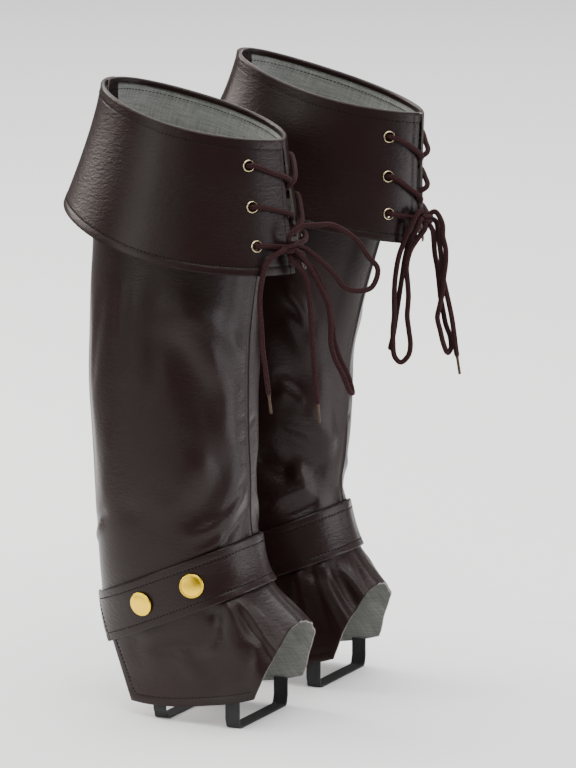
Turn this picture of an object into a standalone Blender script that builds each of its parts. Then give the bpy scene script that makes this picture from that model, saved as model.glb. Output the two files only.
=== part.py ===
# Pair of lace-up boot covers with turned-down cuffs, standing as worn but with no wearer.
# Metres, +Z up. The floor is z = 0 and the toes point to -Y. The right cover stands at -X.
# Each cover is worked out in its own frame: outward (away from the other cover), forward
# (to the toes) and height. A turn of 0 degrees is the front seam and 180 the middle of the back.

import math
from collections import namedtuple
from functools import lru_cache

import bmesh
import bpy
import numpy as np
from mathutils import Matrix, Vector

MM = 0.001

# ---- Driving dimensions ------------------------------------------------------------------
COVER_SPACING = 150 * MM      # between the middles of the two covers
WALL = 1.5 * MM               # coated fabric of the shaft
CUFF_WALL = 1.6 * MM
GAP = 0.3 * MM                # between pieces that meet
RIM_GAP = 1.1 * MM            # between the shaft's top and the cuff that is turned over it
RIM_DROP = 1.0 * MM           # the shaft ends this far under the fold of the cuff
BACK_LAP = 188.0              # degrees from the front to each back edge: they lap by 16
LAP_EASE = (149.0, 170.0)     # degrees over which the inner layer goes under the outer one
SEAM_LIFT = 0.9 * MM          # raised welt of the front seam

STRAP_WIDTH = 40 * MM
STRAP_WALL = 2.2 * MM
STRAP_STAND_OFF = 1.25 * MM
STRAP_SLOPE = 0.42            # rise per forward distance: higher in front than behind
STRAP_HEIGHT = 98.9 * MM      # height of its middle line where forward is 0
STRAP_ENDS = (0.95, 1.015)    # inner and outer end, as parts of the way to the back edge
STRAP_CALM = (22 * MM, 38 * MM)  # from its middle line, the strap presses the folds flat up to
SNAP_PLACES = (0.366, 0.632)  # the two snaps, as parts of the way to the back edge
SNAP_RISE = 0.8 * MM          # above the strap's middle line

CUFF_FLARE = 1.3              # above 1 the cuff hangs straight first and flares lower down
EYELET_DEPTHS = (0.20, 0.50, 0.785)     # down the cuff, from rim to hem
EYELET_HOLE = 3.4 * MM        # radius of the hole in the cloth

LACE_RADIUS = 2.0 * MM
LACE_STEP = 15.0              # millimetres between a straight lace's points
LACE_TURN = 42.0              # degrees between its points in a bend
LACE_RISE = 2.95              # millimetres from the cuff to the middle of a lace that lies on it
LACE_SINK = 2.3               # and from the inside of the cuff to that of a lace behind it
LACE_EDGE = 3.6               # the same, outside and inside, where it goes round the slit's edge
LACE_SHIFT = 2.5              # two laces that cross in the slit pass this far above and below
LACE_WAYS = (0.12, 0.34, 0.56, 0.80)   # where a lace is led between two eyelets: its half way
                              # to the slit and the slit's edge, on the one side and the other
HOLE_ARC = (4.3, 3.9, 3.3, 3.0)        # bend through an eyelet: its heights outside and inside
                              # the middle of the wall, its reach, its middle
HOLE_ANGLES = (90, 50, 0, -50, -90)    # its points, from the outside of the cuff to the inside
TIP_RADIUS = 1.2 * MM
TIP_LENGTH = 14.5 * MM
KNOT_RADIUS = 5.6             # millimetres
KNOT_LEAVE = 6.3              # from the knot's middle to where a lace leaves it
KNOT_BEND = 4.5               # and this much further to a loop's or tail's next point

ELASTIC_WIDTH = 12 * MM
ELASTIC_WALL = 1.2 * MM
ELASTIC_HEM = 8 * MM          # height of the shaft's hem where an elastic leaves it
ELASTIC_LAP = 14 * MM         # length sewn inside the hem
ELASTIC_BEND = 4 * MM         # radius of its corner under the edge of the sole

# ---- Tables, in millimetres --------------------------------------------------------------
# The cuff: its rim, where it is folded over, and its hem.
CuffRow = namedtuple("CuffRow", "front_z rise front back half nose heel sag")
RIM = CuffRow(front_z=458.4, rise=39.5, front=84.6, back=-67.0, half=62.0, nose=1.70, heel=1.90, sag=3.0)
HEM = CuffRow(front_z=356.0, rise=46.0, front=99.4, back=-100.0, half=81.0, nose=1.90, heel=1.80, sag=8.5)

# Horizontal sections of the leg from the cuff to the floor: height in front, rise to the back,
# reach to the front and to the back, half width, and the roundness of front and back
# (2 is an ellipse, more is squarer, less is more pointed). Below 80 they follow a shoe.
LegRow = namedtuple("LegRow", "front_z rise front back half nose heel sag")
TOP_INSET = (CUFF_WALL + RIM_GAP) / MM
LEG_ROWS = [
    LegRow(RIM.front_z - RIM_DROP / MM, RIM.rise, RIM.front - TOP_INSET, RIM.back + 2 * TOP_INSET,
           RIM.half - TOP_INSET, RIM.nose, RIM.heel, RIM.sag),
    LegRow(430, 36, 75.3, -66.0, 59.0, 1.78, 2.00, 2),
    LegRow(395, 29, 69.5, -71.5, 60.5, 1.95, 2.10, 1),
    LegRow(350, 20, 61.0, -72.0, 60.5, 2.10, 2.20, 0),
    LegRow(297, 11, 54.5, -76.0, 59.5, 2.30, 2.30, 0),
    LegRow(260, 5, 53.7, -76.8, 58.0, 2.40, 2.40, 0),
    LegRow(220, 1, 54.0, -74.5, 56.5, 2.40, 2.40, 0),
    LegRow(188, 0, 55.4, -73.0, 55.0, 2.30, 2.35, 0),
    LegRow(145, 0, 57.0, -70.3, 52.5, 2.25, 2.30, 0),
    LegRow(108, 0, 69.0, -69.0, 49.5, 2.20, 2.25, 0),
    LegRow(80, 0, 98.7, -67.5, 47.5, 2.20, 2.20, 0),
    LegRow(55, 0, 130.0, -66.5, 47.0, 2.20, 2.20, 0),
    LegRow(30, 0, 160.0, -66.0, 47.0, 2.20, 2.20, 0),
    LegRow(5, 0, 172.0, -66.0, 47.0, 2.20, 2.20, 0),
]

LEG_AXIS = -8.0               # the leg's own axis lies this far forward
FOLD_RADIUS = 58.0            # the turns of a fold are laid out as lengths on this radius
FOLD_ENDS = (-0.15, 0.25, 0.75, 1.15)   # parts of a fold's length over which it comes and goes

# Rows of the foot flap under the ankle. Down to the tip the front end lies on the seam, and
# below it the flap is cut back along its hem. front and back are how far forward each end is.
FlapRow = namedtuple("FlapRow", "front_z front back_z back dip")
FLAP_ROWS = [
    FlapRow(124, None, 116, None, 0),
    FlapRow(109, None, 99, -68.5, 0),
    FlapRow(94, None, 82, -62.0, 0),
    FlapRow(80, None, 66, -55.5, 0),
    FlapRow(66, 96.5, 51, -48.5, 0),
    FlapRow(51, 90.5, 38, -42.5, 1.0),
    FlapRow(36, 85.0, 25, -37.0, 3.0),
    FlapRow(25.5, 80.5, 11.5, -31.0, 5.0),
]
UPPER_ROWS = 11               # rows from the top of the shaft to the ankle
ANKLE_Z = 140.0
CUFF_DEPTHS = (0.0, 0.14, 0.34, 0.56, 0.78, 1.0)
COLUMN_TURNS = (0, 4, 14, 28, 44, 61, 78, 95, 112, 130, 149, 161, 170, 179, BACK_LAP)

# Folds pressed into the wall: a line from one place to another, its half width and how far
# it stands out (+) or goes in (-).
Fold = namedtuple("Fold", "turn z turn_end z_end width lift")

# How each cover stands: its side of the pair, how its cuff hangs, by height how far it leans
# forward and lifts, and by level how much longer, narrower and more pointed it is pressed.
# The cuff: half its front slit at the rim and at the hem, how far its eyelets lie from the slit,
# and how much further back and lower at the sides its hem is.
PoseRow = namedtuple("PoseRow", "z lean lift")
PressRow = namedtuple("PressRow", "level front back half nose")
CuffFit = namedtuple("CuffFit", "slit_at_rim slit_at_hem eyelet_inset back sag")
Cover = namedtuple("Cover", "name side cuff poses presses folds")
RIGHT = Cover(
    name="right", side=-1,
    cuff=CuffFit(slit_at_rim=1.0, slit_at_hem=8.5, eyelet_inset=35.5, back=0, sag=0),
    poses=(PoseRow(0, 0, 0), PoseRow(520, 0, 0)),
    presses=(PressRow(0, 0, 0, 0, 0), PressRow(520, 0, 0, 0, 0)),
    folds=(
        Fold(68, 338, 26, 272, 13, 3.0),
        Fold(80, 312, 34, 240, 15, -3.2),
        Fold(20, 214, 60, 158, 13, -3.0),
        Fold(46, 212, 88, 168, 15, 2.2),
        Fold(150, 330, 146, 170, 15, -2.5),
        Fold(30, 96, 46, 34, 8, 2.6),
        Fold(44, 104, 62, 36, 8, -2.4),
        Fold(66, 96, 78, 30, 9, 2.0),
        Fold(-62, 330, -24, 262, 14, 3.0),
        Fold(-82, 300, -36, 226, 15, -3.0),
        Fold(-24, 206, -62, 160, 14, -2.6),
        Fold(-140, 320, -148, 180, 16, -2.5),
        Fold(-38, 100, -52, 34, 9, 2.4),
        Fold(-58, 100, -74, 34, 9, -2.2),
    ),
)
LEFT = Cover(
    name="left", side=1,
    cuff=CuffFit(slit_at_rim=3.8, slit_at_hem=5.5, eyelet_inset=27.5, back=-16, sag=-10),
    poses=(
        PoseRow(0, 0, 0), PoseRow(80, 0, 0), PoseRow(112, 9, 0), PoseRow(160, 9.5, 0),
        PoseRow(190, 13.5, 0), PoseRow(220, 16.5, 0), PoseRow(260, 19, 0), PoseRow(297, 26, 1),
        PoseRow(350, 35, 2.6), PoseRow(410, 43, 3.5), PoseRow(460, 49, 5), PoseRow(510, 48, 9.5),
    ),
    presses=(
        PressRow(0, 0, 0, 0, 0), PressRow(100, 0, 0, -1, 0), PressRow(150, 0, -2, -5, -0.3),
        PressRow(350, 0, -4, -8, -0.35), PressRow(457, 2.2, -5.6, -13, -0.1),
    ),
    folds=(
        Fold(-22, 172, -72, 196, 13, -3.0),
        Fold(-16, 190, -60, 224, 14, 2.6),
        Fold(-74, 330, -30, 268, 14, 2.8),
        Fold(-88, 308, -40, 240, 15, -3.0),
        Fold(-26, 98, -40, 36, 8, 2.6),
        Fold(-40, 102, -56, 34, 8, -2.6),
        Fold(-54, 98, -74, 32, 9, 2.4),
        Fold(-146, 330, -148, 180, 15, -2.5),
        Fold(60, 336, 24, 268, 14, 3.0),
        Fold(80, 300, 36, 232, 15, -3.0),
        Fold(26, 204, 66, 162, 14, -2.8),
        Fold(148, 320, 146, 180, 16, -2.5),
        Fold(40, 98, 56, 34, 9, 2.4),
        Fold(60, 100, 76, 34, 9, -2.2),
    ),
)

# Metal parts, turned about their axes: (radius, height above the cloth they are pressed on).
SNAP_PROFILE = ((0, 0.5), (7.4, 0.5), (9.2, 1.1), (9.6, 1.9), (8.8, 2.7), (6.6, 3.2), (0, 3.5))
EYELET_PROFILE = (            # a flange outside, a barrel through the hole, a rolled end inside
    (2.95, -2.45), (3.9, -2.4), (3.9, -2.1), (3.2, -2.1),
    (3.2, 0.35), (4.6, 0.35), (4.75, 0.8), (3.9, 1.15), (2.95, 0.8),
)

# The lace's stops from the knot round to the knot: side of the slit, eyelet from the top, and
# whether the lace goes in or comes out there.
LaceStop = namedtuple("LaceStop", "hand eyelet inward")
LACE_STOPS = [
    LaceStop(1, 3, True), LaceStop(-1, 2, True), LaceStop(1, 1, True),
    LaceStop(-1, 1, False), LaceStop(1, 2, False), LaceStop(-1, 3, False),
]

# The bow: where the knot lies and the degrees it faces outward from the front, and each loop or
# tail by the directions it leaves (and comes back) in, across, out of and up the cuff.
Knot = namedtuple("Knot", "hand outward forward height facing")
Strand = namedtuple("Strand", "name leaves returns tip route")
LACE_ENDS = ((1.0, -0.35, 0.1), (-1.0, -0.35, 0.1))
KNOTS = {
    "right": Knot(hand=1, outward=19.1, forward=97.3, height=377.7, facing=22),
    "left": Knot(hand=-1, outward=-7.0, forward=139.5, height=380.0, facing=-17),
}
STRANDS = {
    "right": [
        Strand("loop_side", (0.2, 0.4, 0.9), (-0.75, 0.65, -0.05), False, [
            (16, 108, 394), (12, 118, 395), (6, 128, 395), (1, 137, 390), (-5, 146, 381),
            (-9, 152, 370), (-13, 158, 361), (-13, 157, 352), (-11, 153, 345), (-6, 144, 343),
            (-1, 136, 346), (3, 129, 356), (8, 121, 366), (12, 114, 373),
        ]),
        Strand("loop_long", (-0.2, 0.93, -0.3), (-0.6, 0.35, -0.7), False, [
            (14, 113, 363), (10, 119, 349), (6, 125, 333), (5, 127, 315), (5, 127, 304),
            (4, 130, 291), (1, 136, 277), (-2, 140, 265), (-7, 140, 263), (-8, 136, 275),
            (-5, 130, 290), (-2, 127, 303), (-1, 126, 315), (1, 124, 332), (5, 119, 348),
            (9, 113, 362),
        ]),
        Strand("tail_side", (0.9, 0.45, -0.1), None, True, [
            (36, 91, 371), (40, 88, 364), (43, 86, 352), (44, 85, 336), (43, 86, 318),
            (43, 87, 302), (42, 89, 285), (41, 91, 267),
        ]),
        Strand("tail_front", (0.1, 0.45, -0.85), None, True, [
            (18, 109, 360), (16, 112, 350), (15, 114, 333), (14, 115, 316), (14, 116, 300),
            (13, 117, 282), (12, 119, 257),
        ]),
    ],
    "left": [
        Strand("loop_side", (-0.68, 0.3, 0.68), (-0.5, 0.62, -0.6), False, [
            (-21, 138, 381), (-23, 134, 372), (-24, 130, 362), (-26, 127, 352), (-26, 124, 336),
            (-26, 123, 322), (-26, 123, 303), (-26, 122, 293), (-26, 122, 283), (-25, 123, 271),
            (-22, 127, 266), (-19, 132, 271), (-19, 134, 280), (-20, 133, 292), (-21, 132, 303),
            (-21, 133, 319), (-23, 133, 332), (-25, 133, 343), (-22, 135, 356), (-17, 139, 365),
        ]),
        Strand("loop_long", (0.75, 0.45, 0.45), (0.25, 0.62, -0.75), False, [
            (-3, 154, 376), (-4, 155, 366), (-3, 157, 356), (-3, 157, 344), (-4, 156, 334),
            (-4, 155, 322), (-5, 153, 311), (-5, 151, 301), (-4, 153, 291), (-2, 155, 280),
            (2, 157, 272), (6, 158, 275), (7, 157, 284), (5, 154, 294), (4, 152, 305),
            (3, 150, 317), (3, 149, 326), (3, 147, 341), (3, 145, 351), (1, 145, 361),
        ]),
        Strand("tail_side", (-0.9, 0.45, 0.0), None, False, [
            (-18, 138, 372), (-18, 133, 364), (-18, 129, 351), (-18, 126, 333), (-19, 124, 318),
            (-20, 122, 302), (-21, 120, 287), (-22, 118, 277),
        ]),
        Strand("tail_front", (0.87, 0.45, -0.25), None, True, [
            (-1, 150, 364), (-1, 152, 351), (0, 153, 336), (1, 156, 321), (2, 158, 311),
            (3, 160, 300), (3, 162, 288), (4, 163, 277), (4, 164, 271),
        ]),
    ],
}

# Where each elastic crosses under the foot: how far forward, and half its width there.
ElasticRow = namedtuple("ElasticRow", "name forward foot")
ELASTICS = [ElasticRow("heel", -3.5, 37.5), ElasticRow("front", 61.5, 43.5)]


# ---- Numbers along tables ----------------------------------------------------------------
def along_rows(rows, key, column, at):
    """Smooth cubic through one column of a table, read at the values of its key column."""
    x = np.array([getattr(row, key) for row in rows], float)
    y = np.array([getattr(row, column) for row in rows], float)
    order = np.argsort(x)
    x, y = x[order], y[order]
    slope = np.gradient(y, x)
    at = np.clip(np.asarray(at, float), x[0], x[-1])
    i = np.clip(np.searchsorted(x, at) - 1, 0, len(x) - 2)
    step = x[i + 1] - x[i]
    s = (at - x[i]) / step
    start = (1 + 2 * s) * (1 - s) ** 2 * y[i] + s * (1 - s) ** 2 * step * slope[i]
    end = s * s * (3 - 2 * s) * y[i + 1] + s * s * (s - 1) * step * slope[i + 1]
    return start + end


def smooth_step(value, low, high):
    s = np.clip((np.asarray(value, float) - low) / (high - low), 0.0, 1.0)
    return s * s * (3 - 2 * s)


# ---- Surfaces: arrays of (outward, forward, height) in millimetres ---------------------------
def oval(turn, front_z, rise, front, back, half, nose, heel, sag):
    """A ring whose front and back have their own roundness, tilted up to the back."""
    angle = np.radians(turn)
    c, s = np.cos(angle), np.sin(angle)
    power = 2.0 / (heel + (nose - heel) * (1 + c) / 2)
    along = np.sign(c) * np.abs(c) ** power
    outward = half * np.sign(s) * np.abs(s) ** power
    forward = (front + back) / 2 + (front - back) / 2 * along
    height = front_z + rise * (1 - along) / 2 - sag * s * s
    return np.stack(np.broadcast_arrays(outward, forward, height), -1)


def posed(points, cover):
    """Leans and lifts points as the cover stands."""
    z = points[..., 2]
    lean = along_rows(cover.poses, "z", "lean", z)
    lift = along_rows(cover.poses, "z", "lift", z)
    return points + np.stack([np.zeros_like(lean), lean, lift], -1)


def pressed(row, cover, level):
    """Adds the cover's own press to the columns of a section."""
    for name in PressRow._fields[1:]:
        row[name] = row[name] + along_rows(cover.presses, "level", name, level)
    return row


def leg_surface(cover, turn, level):
    """Outer face of the shaft and foot flap before folds; level is the height in front."""
    turn, level = np.broadcast_arrays(np.asarray(turn, float), np.asarray(level, float))
    row = {name: along_rows(LEG_ROWS, "front_z", name, level) for name in LegRow._fields[1:]}
    return posed(oval(turn, level, **pressed(row, cover, level)), cover)


def cuff_surface(cover, turn, depth):
    """Outer face of the cuff; depth goes from 0 at the rim to 1 at the hem."""
    turn, depth = np.broadcast_arrays(np.asarray(turn, float), np.asarray(depth, float))
    flared = np.sign(depth) * np.abs(depth) ** CUFF_FLARE
    row = {}
    for name in CuffRow._fields:
        share = flared if name in ("front", "back", "half") else depth
        row[name] = getattr(RIM, name) + (getattr(HEM, name) - getattr(RIM, name)) * share
    row["back"] = row["back"] + cover.cuff.back * depth
    row["sag"] = row["sag"] + cover.cuff.sag * depth
    return posed(oval(turn, **pressed(row, cover, row["front_z"])), cover)


def outward_normals(surface, cover, turn, level, level_step):
    """Unit normals of a surface, from small steps along it."""
    around = surface(cover, turn + 0.5, level) - surface(cover, turn - 0.5, level)
    down = surface(cover, turn, level + level_step) - surface(cover, turn, level - level_step)
    normal = np.cross(around, down)
    middle = surface(cover, turn + 180.0, level)
    facing = ((surface(cover, turn, level) - middle) * normal).sum(-1, keepdims=True)
    return normal * np.sign(facing) / np.linalg.norm(normal, axis=-1, keepdims=True)


def above_strap(cover, points):
    """How far points lie above the middle line of the ankle strap, along the leg's surface."""
    lean = along_rows(cover.poses, "z", "lean", points[..., 2])
    line = STRAP_HEIGHT / MM + STRAP_SLOPE * (points[..., 1] - lean)
    return (points[..., 2] - line) / math.sqrt(1 + STRAP_SLOPE ** 2)


def fold_lift(cover, turn, points):
    """How far the folds move each point out: rounded ridges and troughs with soft ends."""
    total = np.zeros(turn.shape)
    reach = np.hypot(points[..., 0], points[..., 1] - LEG_AXIS)
    for fold in cover.folds:
        gap = (turn - fold.turn + 180.0) % 360.0 - 180.0
        x = np.radians(gap) * reach
        z = points[..., 2] - fold.z
        end_x = np.radians(fold.turn_end - fold.turn) * FOLD_RADIUS
        end_z = fold.z_end - fold.z
        length = math.hypot(end_x, end_z)
        share = (x * end_x + z * end_z) / length ** 2
        off = (x * end_z - z * end_x) / length
        ends = smooth_step(share, *FOLD_ENDS[:2]) * (1 - smooth_step(share, *FOLD_ENDS[2:]))
        total += fold.lift * np.exp(-(off / fold.width) ** 2) * ends
    calm = np.array(STRAP_CALM) / MM
    return total * smooth_step(np.abs(above_strap(cover, points)), *calm)


def turn_at(cover, forward, level):
    """The turn where a leg section reaches a forward place, on the outer side."""
    turns = np.linspace(0.5, 179.5, 720)
    ring = leg_surface(cover, turns, np.full(turns.shape, level))
    lean = along_rows(cover.poses, "z", "lean", level)
    return float(np.interp(-forward - lean, -ring[:, 1], turns))


# ---- The shaft panels -----------------------------------------------------------------------
PanelRow = namedtuple("PanelRow", "front_level front_turn back_level back_turn dip")


@lru_cache(maxsize=None)
def panel_rows(cover):
    """The rows of half a shaft, from its top to the hem of the foot flap."""
    rows = [
        PanelRow(level, 0.0, level, BACK_LAP, 0.0)
        for level in np.linspace(LEG_ROWS[0].front_z, ANKLE_Z, UPPER_ROWS)
    ]
    for row in FLAP_ROWS:
        front_turn = 0.0 if row.front is None else turn_at(cover, row.front, row.front_z)
        back_turn = BACK_LAP if row.back is None else turn_at(cover, row.back, row.back_z)
        rows.append(PanelRow(row.front_z, front_turn, row.back_z, back_turn, row.dip))
    return rows


def panel_place(rows, share, row_at):
    """Turn and level at a share of the way to the back edge and a place down the rows."""
    index = np.arange(len(rows))
    table = {name: np.interp(row_at, index, [getattr(row, name) for row in rows])
             for name in PanelRow._fields}
    turn = table["front_turn"] + (table["back_turn"] - table["front_turn"]) * share
    level = table["front_level"] + (table["back_level"] - table["front_level"]) * share
    return turn, level - table["dip"] * 4 * share * (1 - share)


def panel_points(cover, hand, share, row_at, offset):
    """Points of a shaft half (hand 1 outer, -1 inner), moved out by offset, in millimetres."""
    share, row_at = np.broadcast_arrays(np.asarray(share, float), np.asarray(row_at, float))
    turn, level = panel_place(panel_rows(cover), share, row_at)
    base = leg_surface(cover, hand * turn, level)
    normal = outward_normals(leg_surface, cover, hand * turn, level, 1.0)
    on_seam = (turn < 1e-6)[..., None]
    flat = normal * np.array([0.0, 1.0, 1.0])
    flat = flat / np.linalg.norm(flat, axis=-1, keepdims=True)
    normal = np.where(on_seam, flat, normal)
    move = fold_lift(cover, hand * turn, base) + offset
    if hand < 0:
        move = move - (WALL + GAP) / MM * smooth_step(turn, *LAP_EASE)
    points = base + normal * move[..., None]
    seam_x = hand * GAP / MM / 2
    points[..., 0] = np.where(on_seam[..., 0], seam_x, points[..., 0])
    return points


def in_frame(points, cover):
    """Millimetres outward, forward and up to metres in the cover's own object frame."""
    return np.asarray(points) * np.array([cover.side, -1.0, 1.0]) * MM


# ---- Objects -----------------------------------------------------------------------------------
def material(name, colour, roughness, metallic=0.0):
    made = bpy.data.materials.new(name)
    made.use_nodes = True
    shader = made.node_tree.nodes["Principled BSDF"]
    shader.inputs["Base Color"].default_value = (*colour, 1.0)
    shader.inputs["Roughness"].default_value = roughness
    shader.inputs["Metallic"].default_value = metallic
    made.diffuse_color = (*colour, 1.0)
    return made


def place(name, data, cover_empty, look, matrix=None):
    """Links an object into the scene under its cover, with its material."""
    thing = bpy.data.objects.new(name, data)
    bpy.context.scene.collection.objects.link(thing)
    thing.parent = cover_empty
    if matrix is not None:
        thing.matrix_local = matrix
    if not data.materials:
        data.materials.append(look)
    return thing


def mesh_from(name, points, faces):
    """A closed mesh with its faces out and shaded smooth but for its edges."""
    mesh = bpy.data.meshes.new(name)
    mesh.from_pydata([tuple(p) for p in points], [], faces)
    work = bmesh.new()
    work.from_mesh(mesh)
    bmesh.ops.recalc_face_normals(work, faces=work.faces)
    bmesh.ops.triangulate(work, faces=work.faces)
    work.to_mesh(mesh)
    work.free()
    mesh.shade_smooth()
    mesh.set_sharp_from_angle(angle=math.radians(40))
    return mesh


def grid_solid(name, outer, inner):
    """A wall between two grids of points with the same rows and columns."""
    rows, columns = outer.shape[:2]
    points = np.concatenate([outer.reshape(-1, 3), inner.reshape(-1, 3)])
    under = rows * columns
    faces = []
    for i in range(rows - 1):
        for j in range(columns - 1):
            a, b = i * columns + j, i * columns + j + 1
            c, d = b + columns, a + columns
            faces.append((a, b, c, d))
            faces.append((under + d, under + c, under + b, under + a))
    edge = list(range(columns))
    edge += [i * columns + columns - 1 for i in range(1, rows)]
    edge += [(rows - 1) * columns + j for j in range(columns - 2, -1, -1)]
    edge += [i * columns for i in range(rows - 2, 0, -1)]
    for start, end in zip(edge, edge[1:] + edge[:1]):
        faces.append((start, under + start, under + end, end))
    return mesh_from(name, points, faces)


def turned_mesh(name, profile, segments):
    """A profile of (radius, height) pairs turned about Z; ends on the axis close it, and a
    profile that stays off the axis closes on itself."""
    angles = np.linspace(0, 2 * math.pi, segments, endpoint=False)
    poles = [i for i, (radius, _) in enumerate(profile) if radius == 0]
    points, rings = [], []
    for radius, height in profile:
        if radius == 0:
            rings.append([len(points)] * segments)
            points.append((0.0, 0.0, height))
        else:
            rings.append(list(range(len(points), len(points) + segments)))
            points += [(radius * math.cos(a), radius * math.sin(a), height) for a in angles]
    pairs = list(zip(rings, rings[1:]))
    if not poles:
        pairs.append((rings[-1], rings[0]))
    faces = []
    for low, high in pairs:
        for k in range(segments):
            n = (k + 1) % segments
            corners = [low[k], low[n], high[n], high[k]]
            faces.append(tuple(dict.fromkeys(corners)))
    return mesh_from(name, points, faces)


def frame_matrix(origin, axis):
    """A place whose Z runs along axis."""
    turn = Vector(axis).normalized().to_track_quat("Z", "Y").to_matrix().to_4x4()
    return Matrix.Translation(Vector(origin)) @ turn


# ---- Laces ------------------------------------------------------------------------------------
def smooth_route(route):
    """Points on a centripetal Catmull-Rom curve through a route's points, closer in bends."""
    p = np.array(route, float)
    p = np.concatenate([[2 * p[0] - p[1]], p, [2 * p[-1] - p[-2]]])
    knots = np.concatenate([[0], np.cumsum(np.sqrt(np.linalg.norm(np.diff(p, axis=0), axis=1)))])
    fine = []
    for i in range(1, len(p) - 2):
        t = np.linspace(knots[i], knots[i + 1], 24, endpoint=False)[:, None]
        t0, t1, t2, t3 = knots[i - 1], knots[i], knots[i + 1], knots[i + 2]
        a1 = (t1 - t) / (t1 - t0) * p[i - 1] + (t - t0) / (t1 - t0) * p[i]
        a2 = (t2 - t) / (t2 - t1) * p[i] + (t - t1) / (t2 - t1) * p[i + 1]
        a3 = (t3 - t) / (t3 - t2) * p[i + 1] + (t - t2) / (t3 - t2) * p[i + 2]
        b1 = (t2 - t) / (t2 - t0) * a1 + (t - t0) / (t2 - t0) * a2
        b2 = (t3 - t) / (t3 - t1) * a2 + (t - t1) / (t3 - t1) * a3
        fine.append((t2 - t) / (t2 - t1) * b1 + (t - t1) / (t2 - t1) * b2)
    fine = np.concatenate(fine + [p[-2:-1]])
    step = np.diff(fine, axis=0)
    length = np.linalg.norm(step, axis=1)
    heading = step / length[:, None]
    bend = np.degrees(np.arccos(np.clip((heading[1:] * heading[:-1]).sum(1), -1, 1)))
    share = length / LACE_STEP + np.append(bend, 0) / LACE_TURN
    run = np.concatenate([[0], np.cumsum(share)])
    at = np.linspace(0, run[-1], max(3, int(round(run[-1])) + 1))
    return np.stack([np.interp(at, run, fine[:, k]) for k in range(3)], -1)


def cord_data(name, points):
    data = bpy.data.curves.new(name, "CURVE")
    data.dimensions = "3D"
    data.bevel_depth = LACE_RADIUS
    data.bevel_resolution = 2
    data.use_fill_caps = True
    spline = data.splines.new("POLY")
    spline.points.add(len(points) - 1)
    for point, xyz in zip(spline.points, points):
        point.co = (*xyz, 1.0)
    return data


def knot_points(knot, leaves, *reaches):
    """Points out of the knot's middle in a direction given across, out of and up the cuff."""
    facing = math.radians(knot.facing)
    across = np.array([math.cos(facing), -math.sin(facing), 0.0])
    out = np.array([math.sin(facing), math.cos(facing), 0.0])
    way = leaves[0] * across + leaves[1] * out + leaves[2] * np.array([0.0, 0.0, 1.0])
    way = way / np.linalg.norm(way)
    middle = np.array([knot.outward, knot.forward, knot.height])
    return [middle + way * reach for reach in reaches]


def cuff_spot(cover, hand, share, depth, outside):
    """A lace's place on the outside of a cuff half, or inside it."""
    rise = LACE_EDGE if share == 0 else LACE_RISE if outside else LACE_SINK
    return cuff_points(cover, hand, share, depth, rise if outside else -rise - CUFF_WALL / MM)[0]


def hole_bend(cover, stop):
    """The lace's bend through an eyelet, from its outside to its inside."""
    place, normal = eyelet_places(cover, stop.hand)[stop.eyelet - 1]
    edge, _ = cuff_points(cover, stop.hand, 0.0, EYELET_DEPTHS[stop.eyelet - 1], 0.0)
    to_slit = edge - place
    to_slit = to_slit - normal * (to_slit @ normal)
    to_slit = to_slit / np.linalg.norm(to_slit)
    over, under, reach, middle = HOLE_ARC
    points = []
    for angle in np.radians(HOLE_ANGLES):
        along = middle - reach * math.cos(angle)
        height = (over if angle > 0 else under) * math.sin(angle) - CUFF_WALL / MM / 2
        points.append(place + to_slit * along + normal * height)
    return points


def crossed_route(cover):
    """The lace from the knot through the six eyelets and back, crossing in the slit."""
    knot = KNOTS[cover.name]
    route = []
    for stop, after in zip(LACE_STOPS, LACE_STOPS[1:] + [None]):
        bend = hole_bend(cover, stop)
        route += bend if stop.inward else bend[::-1]
        if after is None:
            continue
        depth = np.array([EYELET_DEPTHS[s.eyelet - 1] for s in (stop, after)])
        up = -1 if (stop if not stop.inward else after).hand > 0 else 1
        shift = up * LACE_SHIFT / (RIM.front_z - HEM.front_z) * (stop.eyelet != after.eyelet)
        leading = (
            (stop.hand, 0.5, not stop.inward), (stop.hand, 0.0, not stop.inward),
            (after.hand, 0.0, after.inward), (after.hand, 0.5, after.inward),
        )
        for (hand, share, outside), way in zip(leading, LACE_WAYS):
            at = depth[0] + (depth[1] - depth[0]) * way
            side = cuff_share(cover, at) * share
            at = at + shift * (1.0 if share == 0 else 0.4)
            route.append(cuff_spot(cover, hand, side, at, outside))
    first, last = LACE_STOPS[0], LACE_STOPS[-1]
    for stop, way in ((first, LACE_ENDS[0]), (last, LACE_ENDS[1])):
        ends = knot_points(knot, way, KNOT_LEAVE, KNOT_LEAVE + KNOT_BEND / 2)
        if stop.hand != knot.hand:
            at = EYELET_DEPTHS[stop.eyelet - 1]
            ends.append(cuff_spot(cover, stop.hand, 0.0, at, True))
            ends.append(cuff_spot(cover, stop.hand, cuff_share(cover, at) / 2, at, True))
        route = ends + route if stop is first else route + ends[::-1]
    return route


def strand_route(cover, strand):
    """A loop or tail of the bow, from the knot to its end or back to the knot."""
    knot = KNOTS[cover.name]
    reaches = (KNOT_LEAVE, KNOT_LEAVE + KNOT_BEND)
    route = knot_points(knot, strand.leaves, *reaches) + list(strand.route)
    if strand.returns:
        route += knot_points(knot, strand.returns, *reaches[::-1])
    return route


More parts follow.
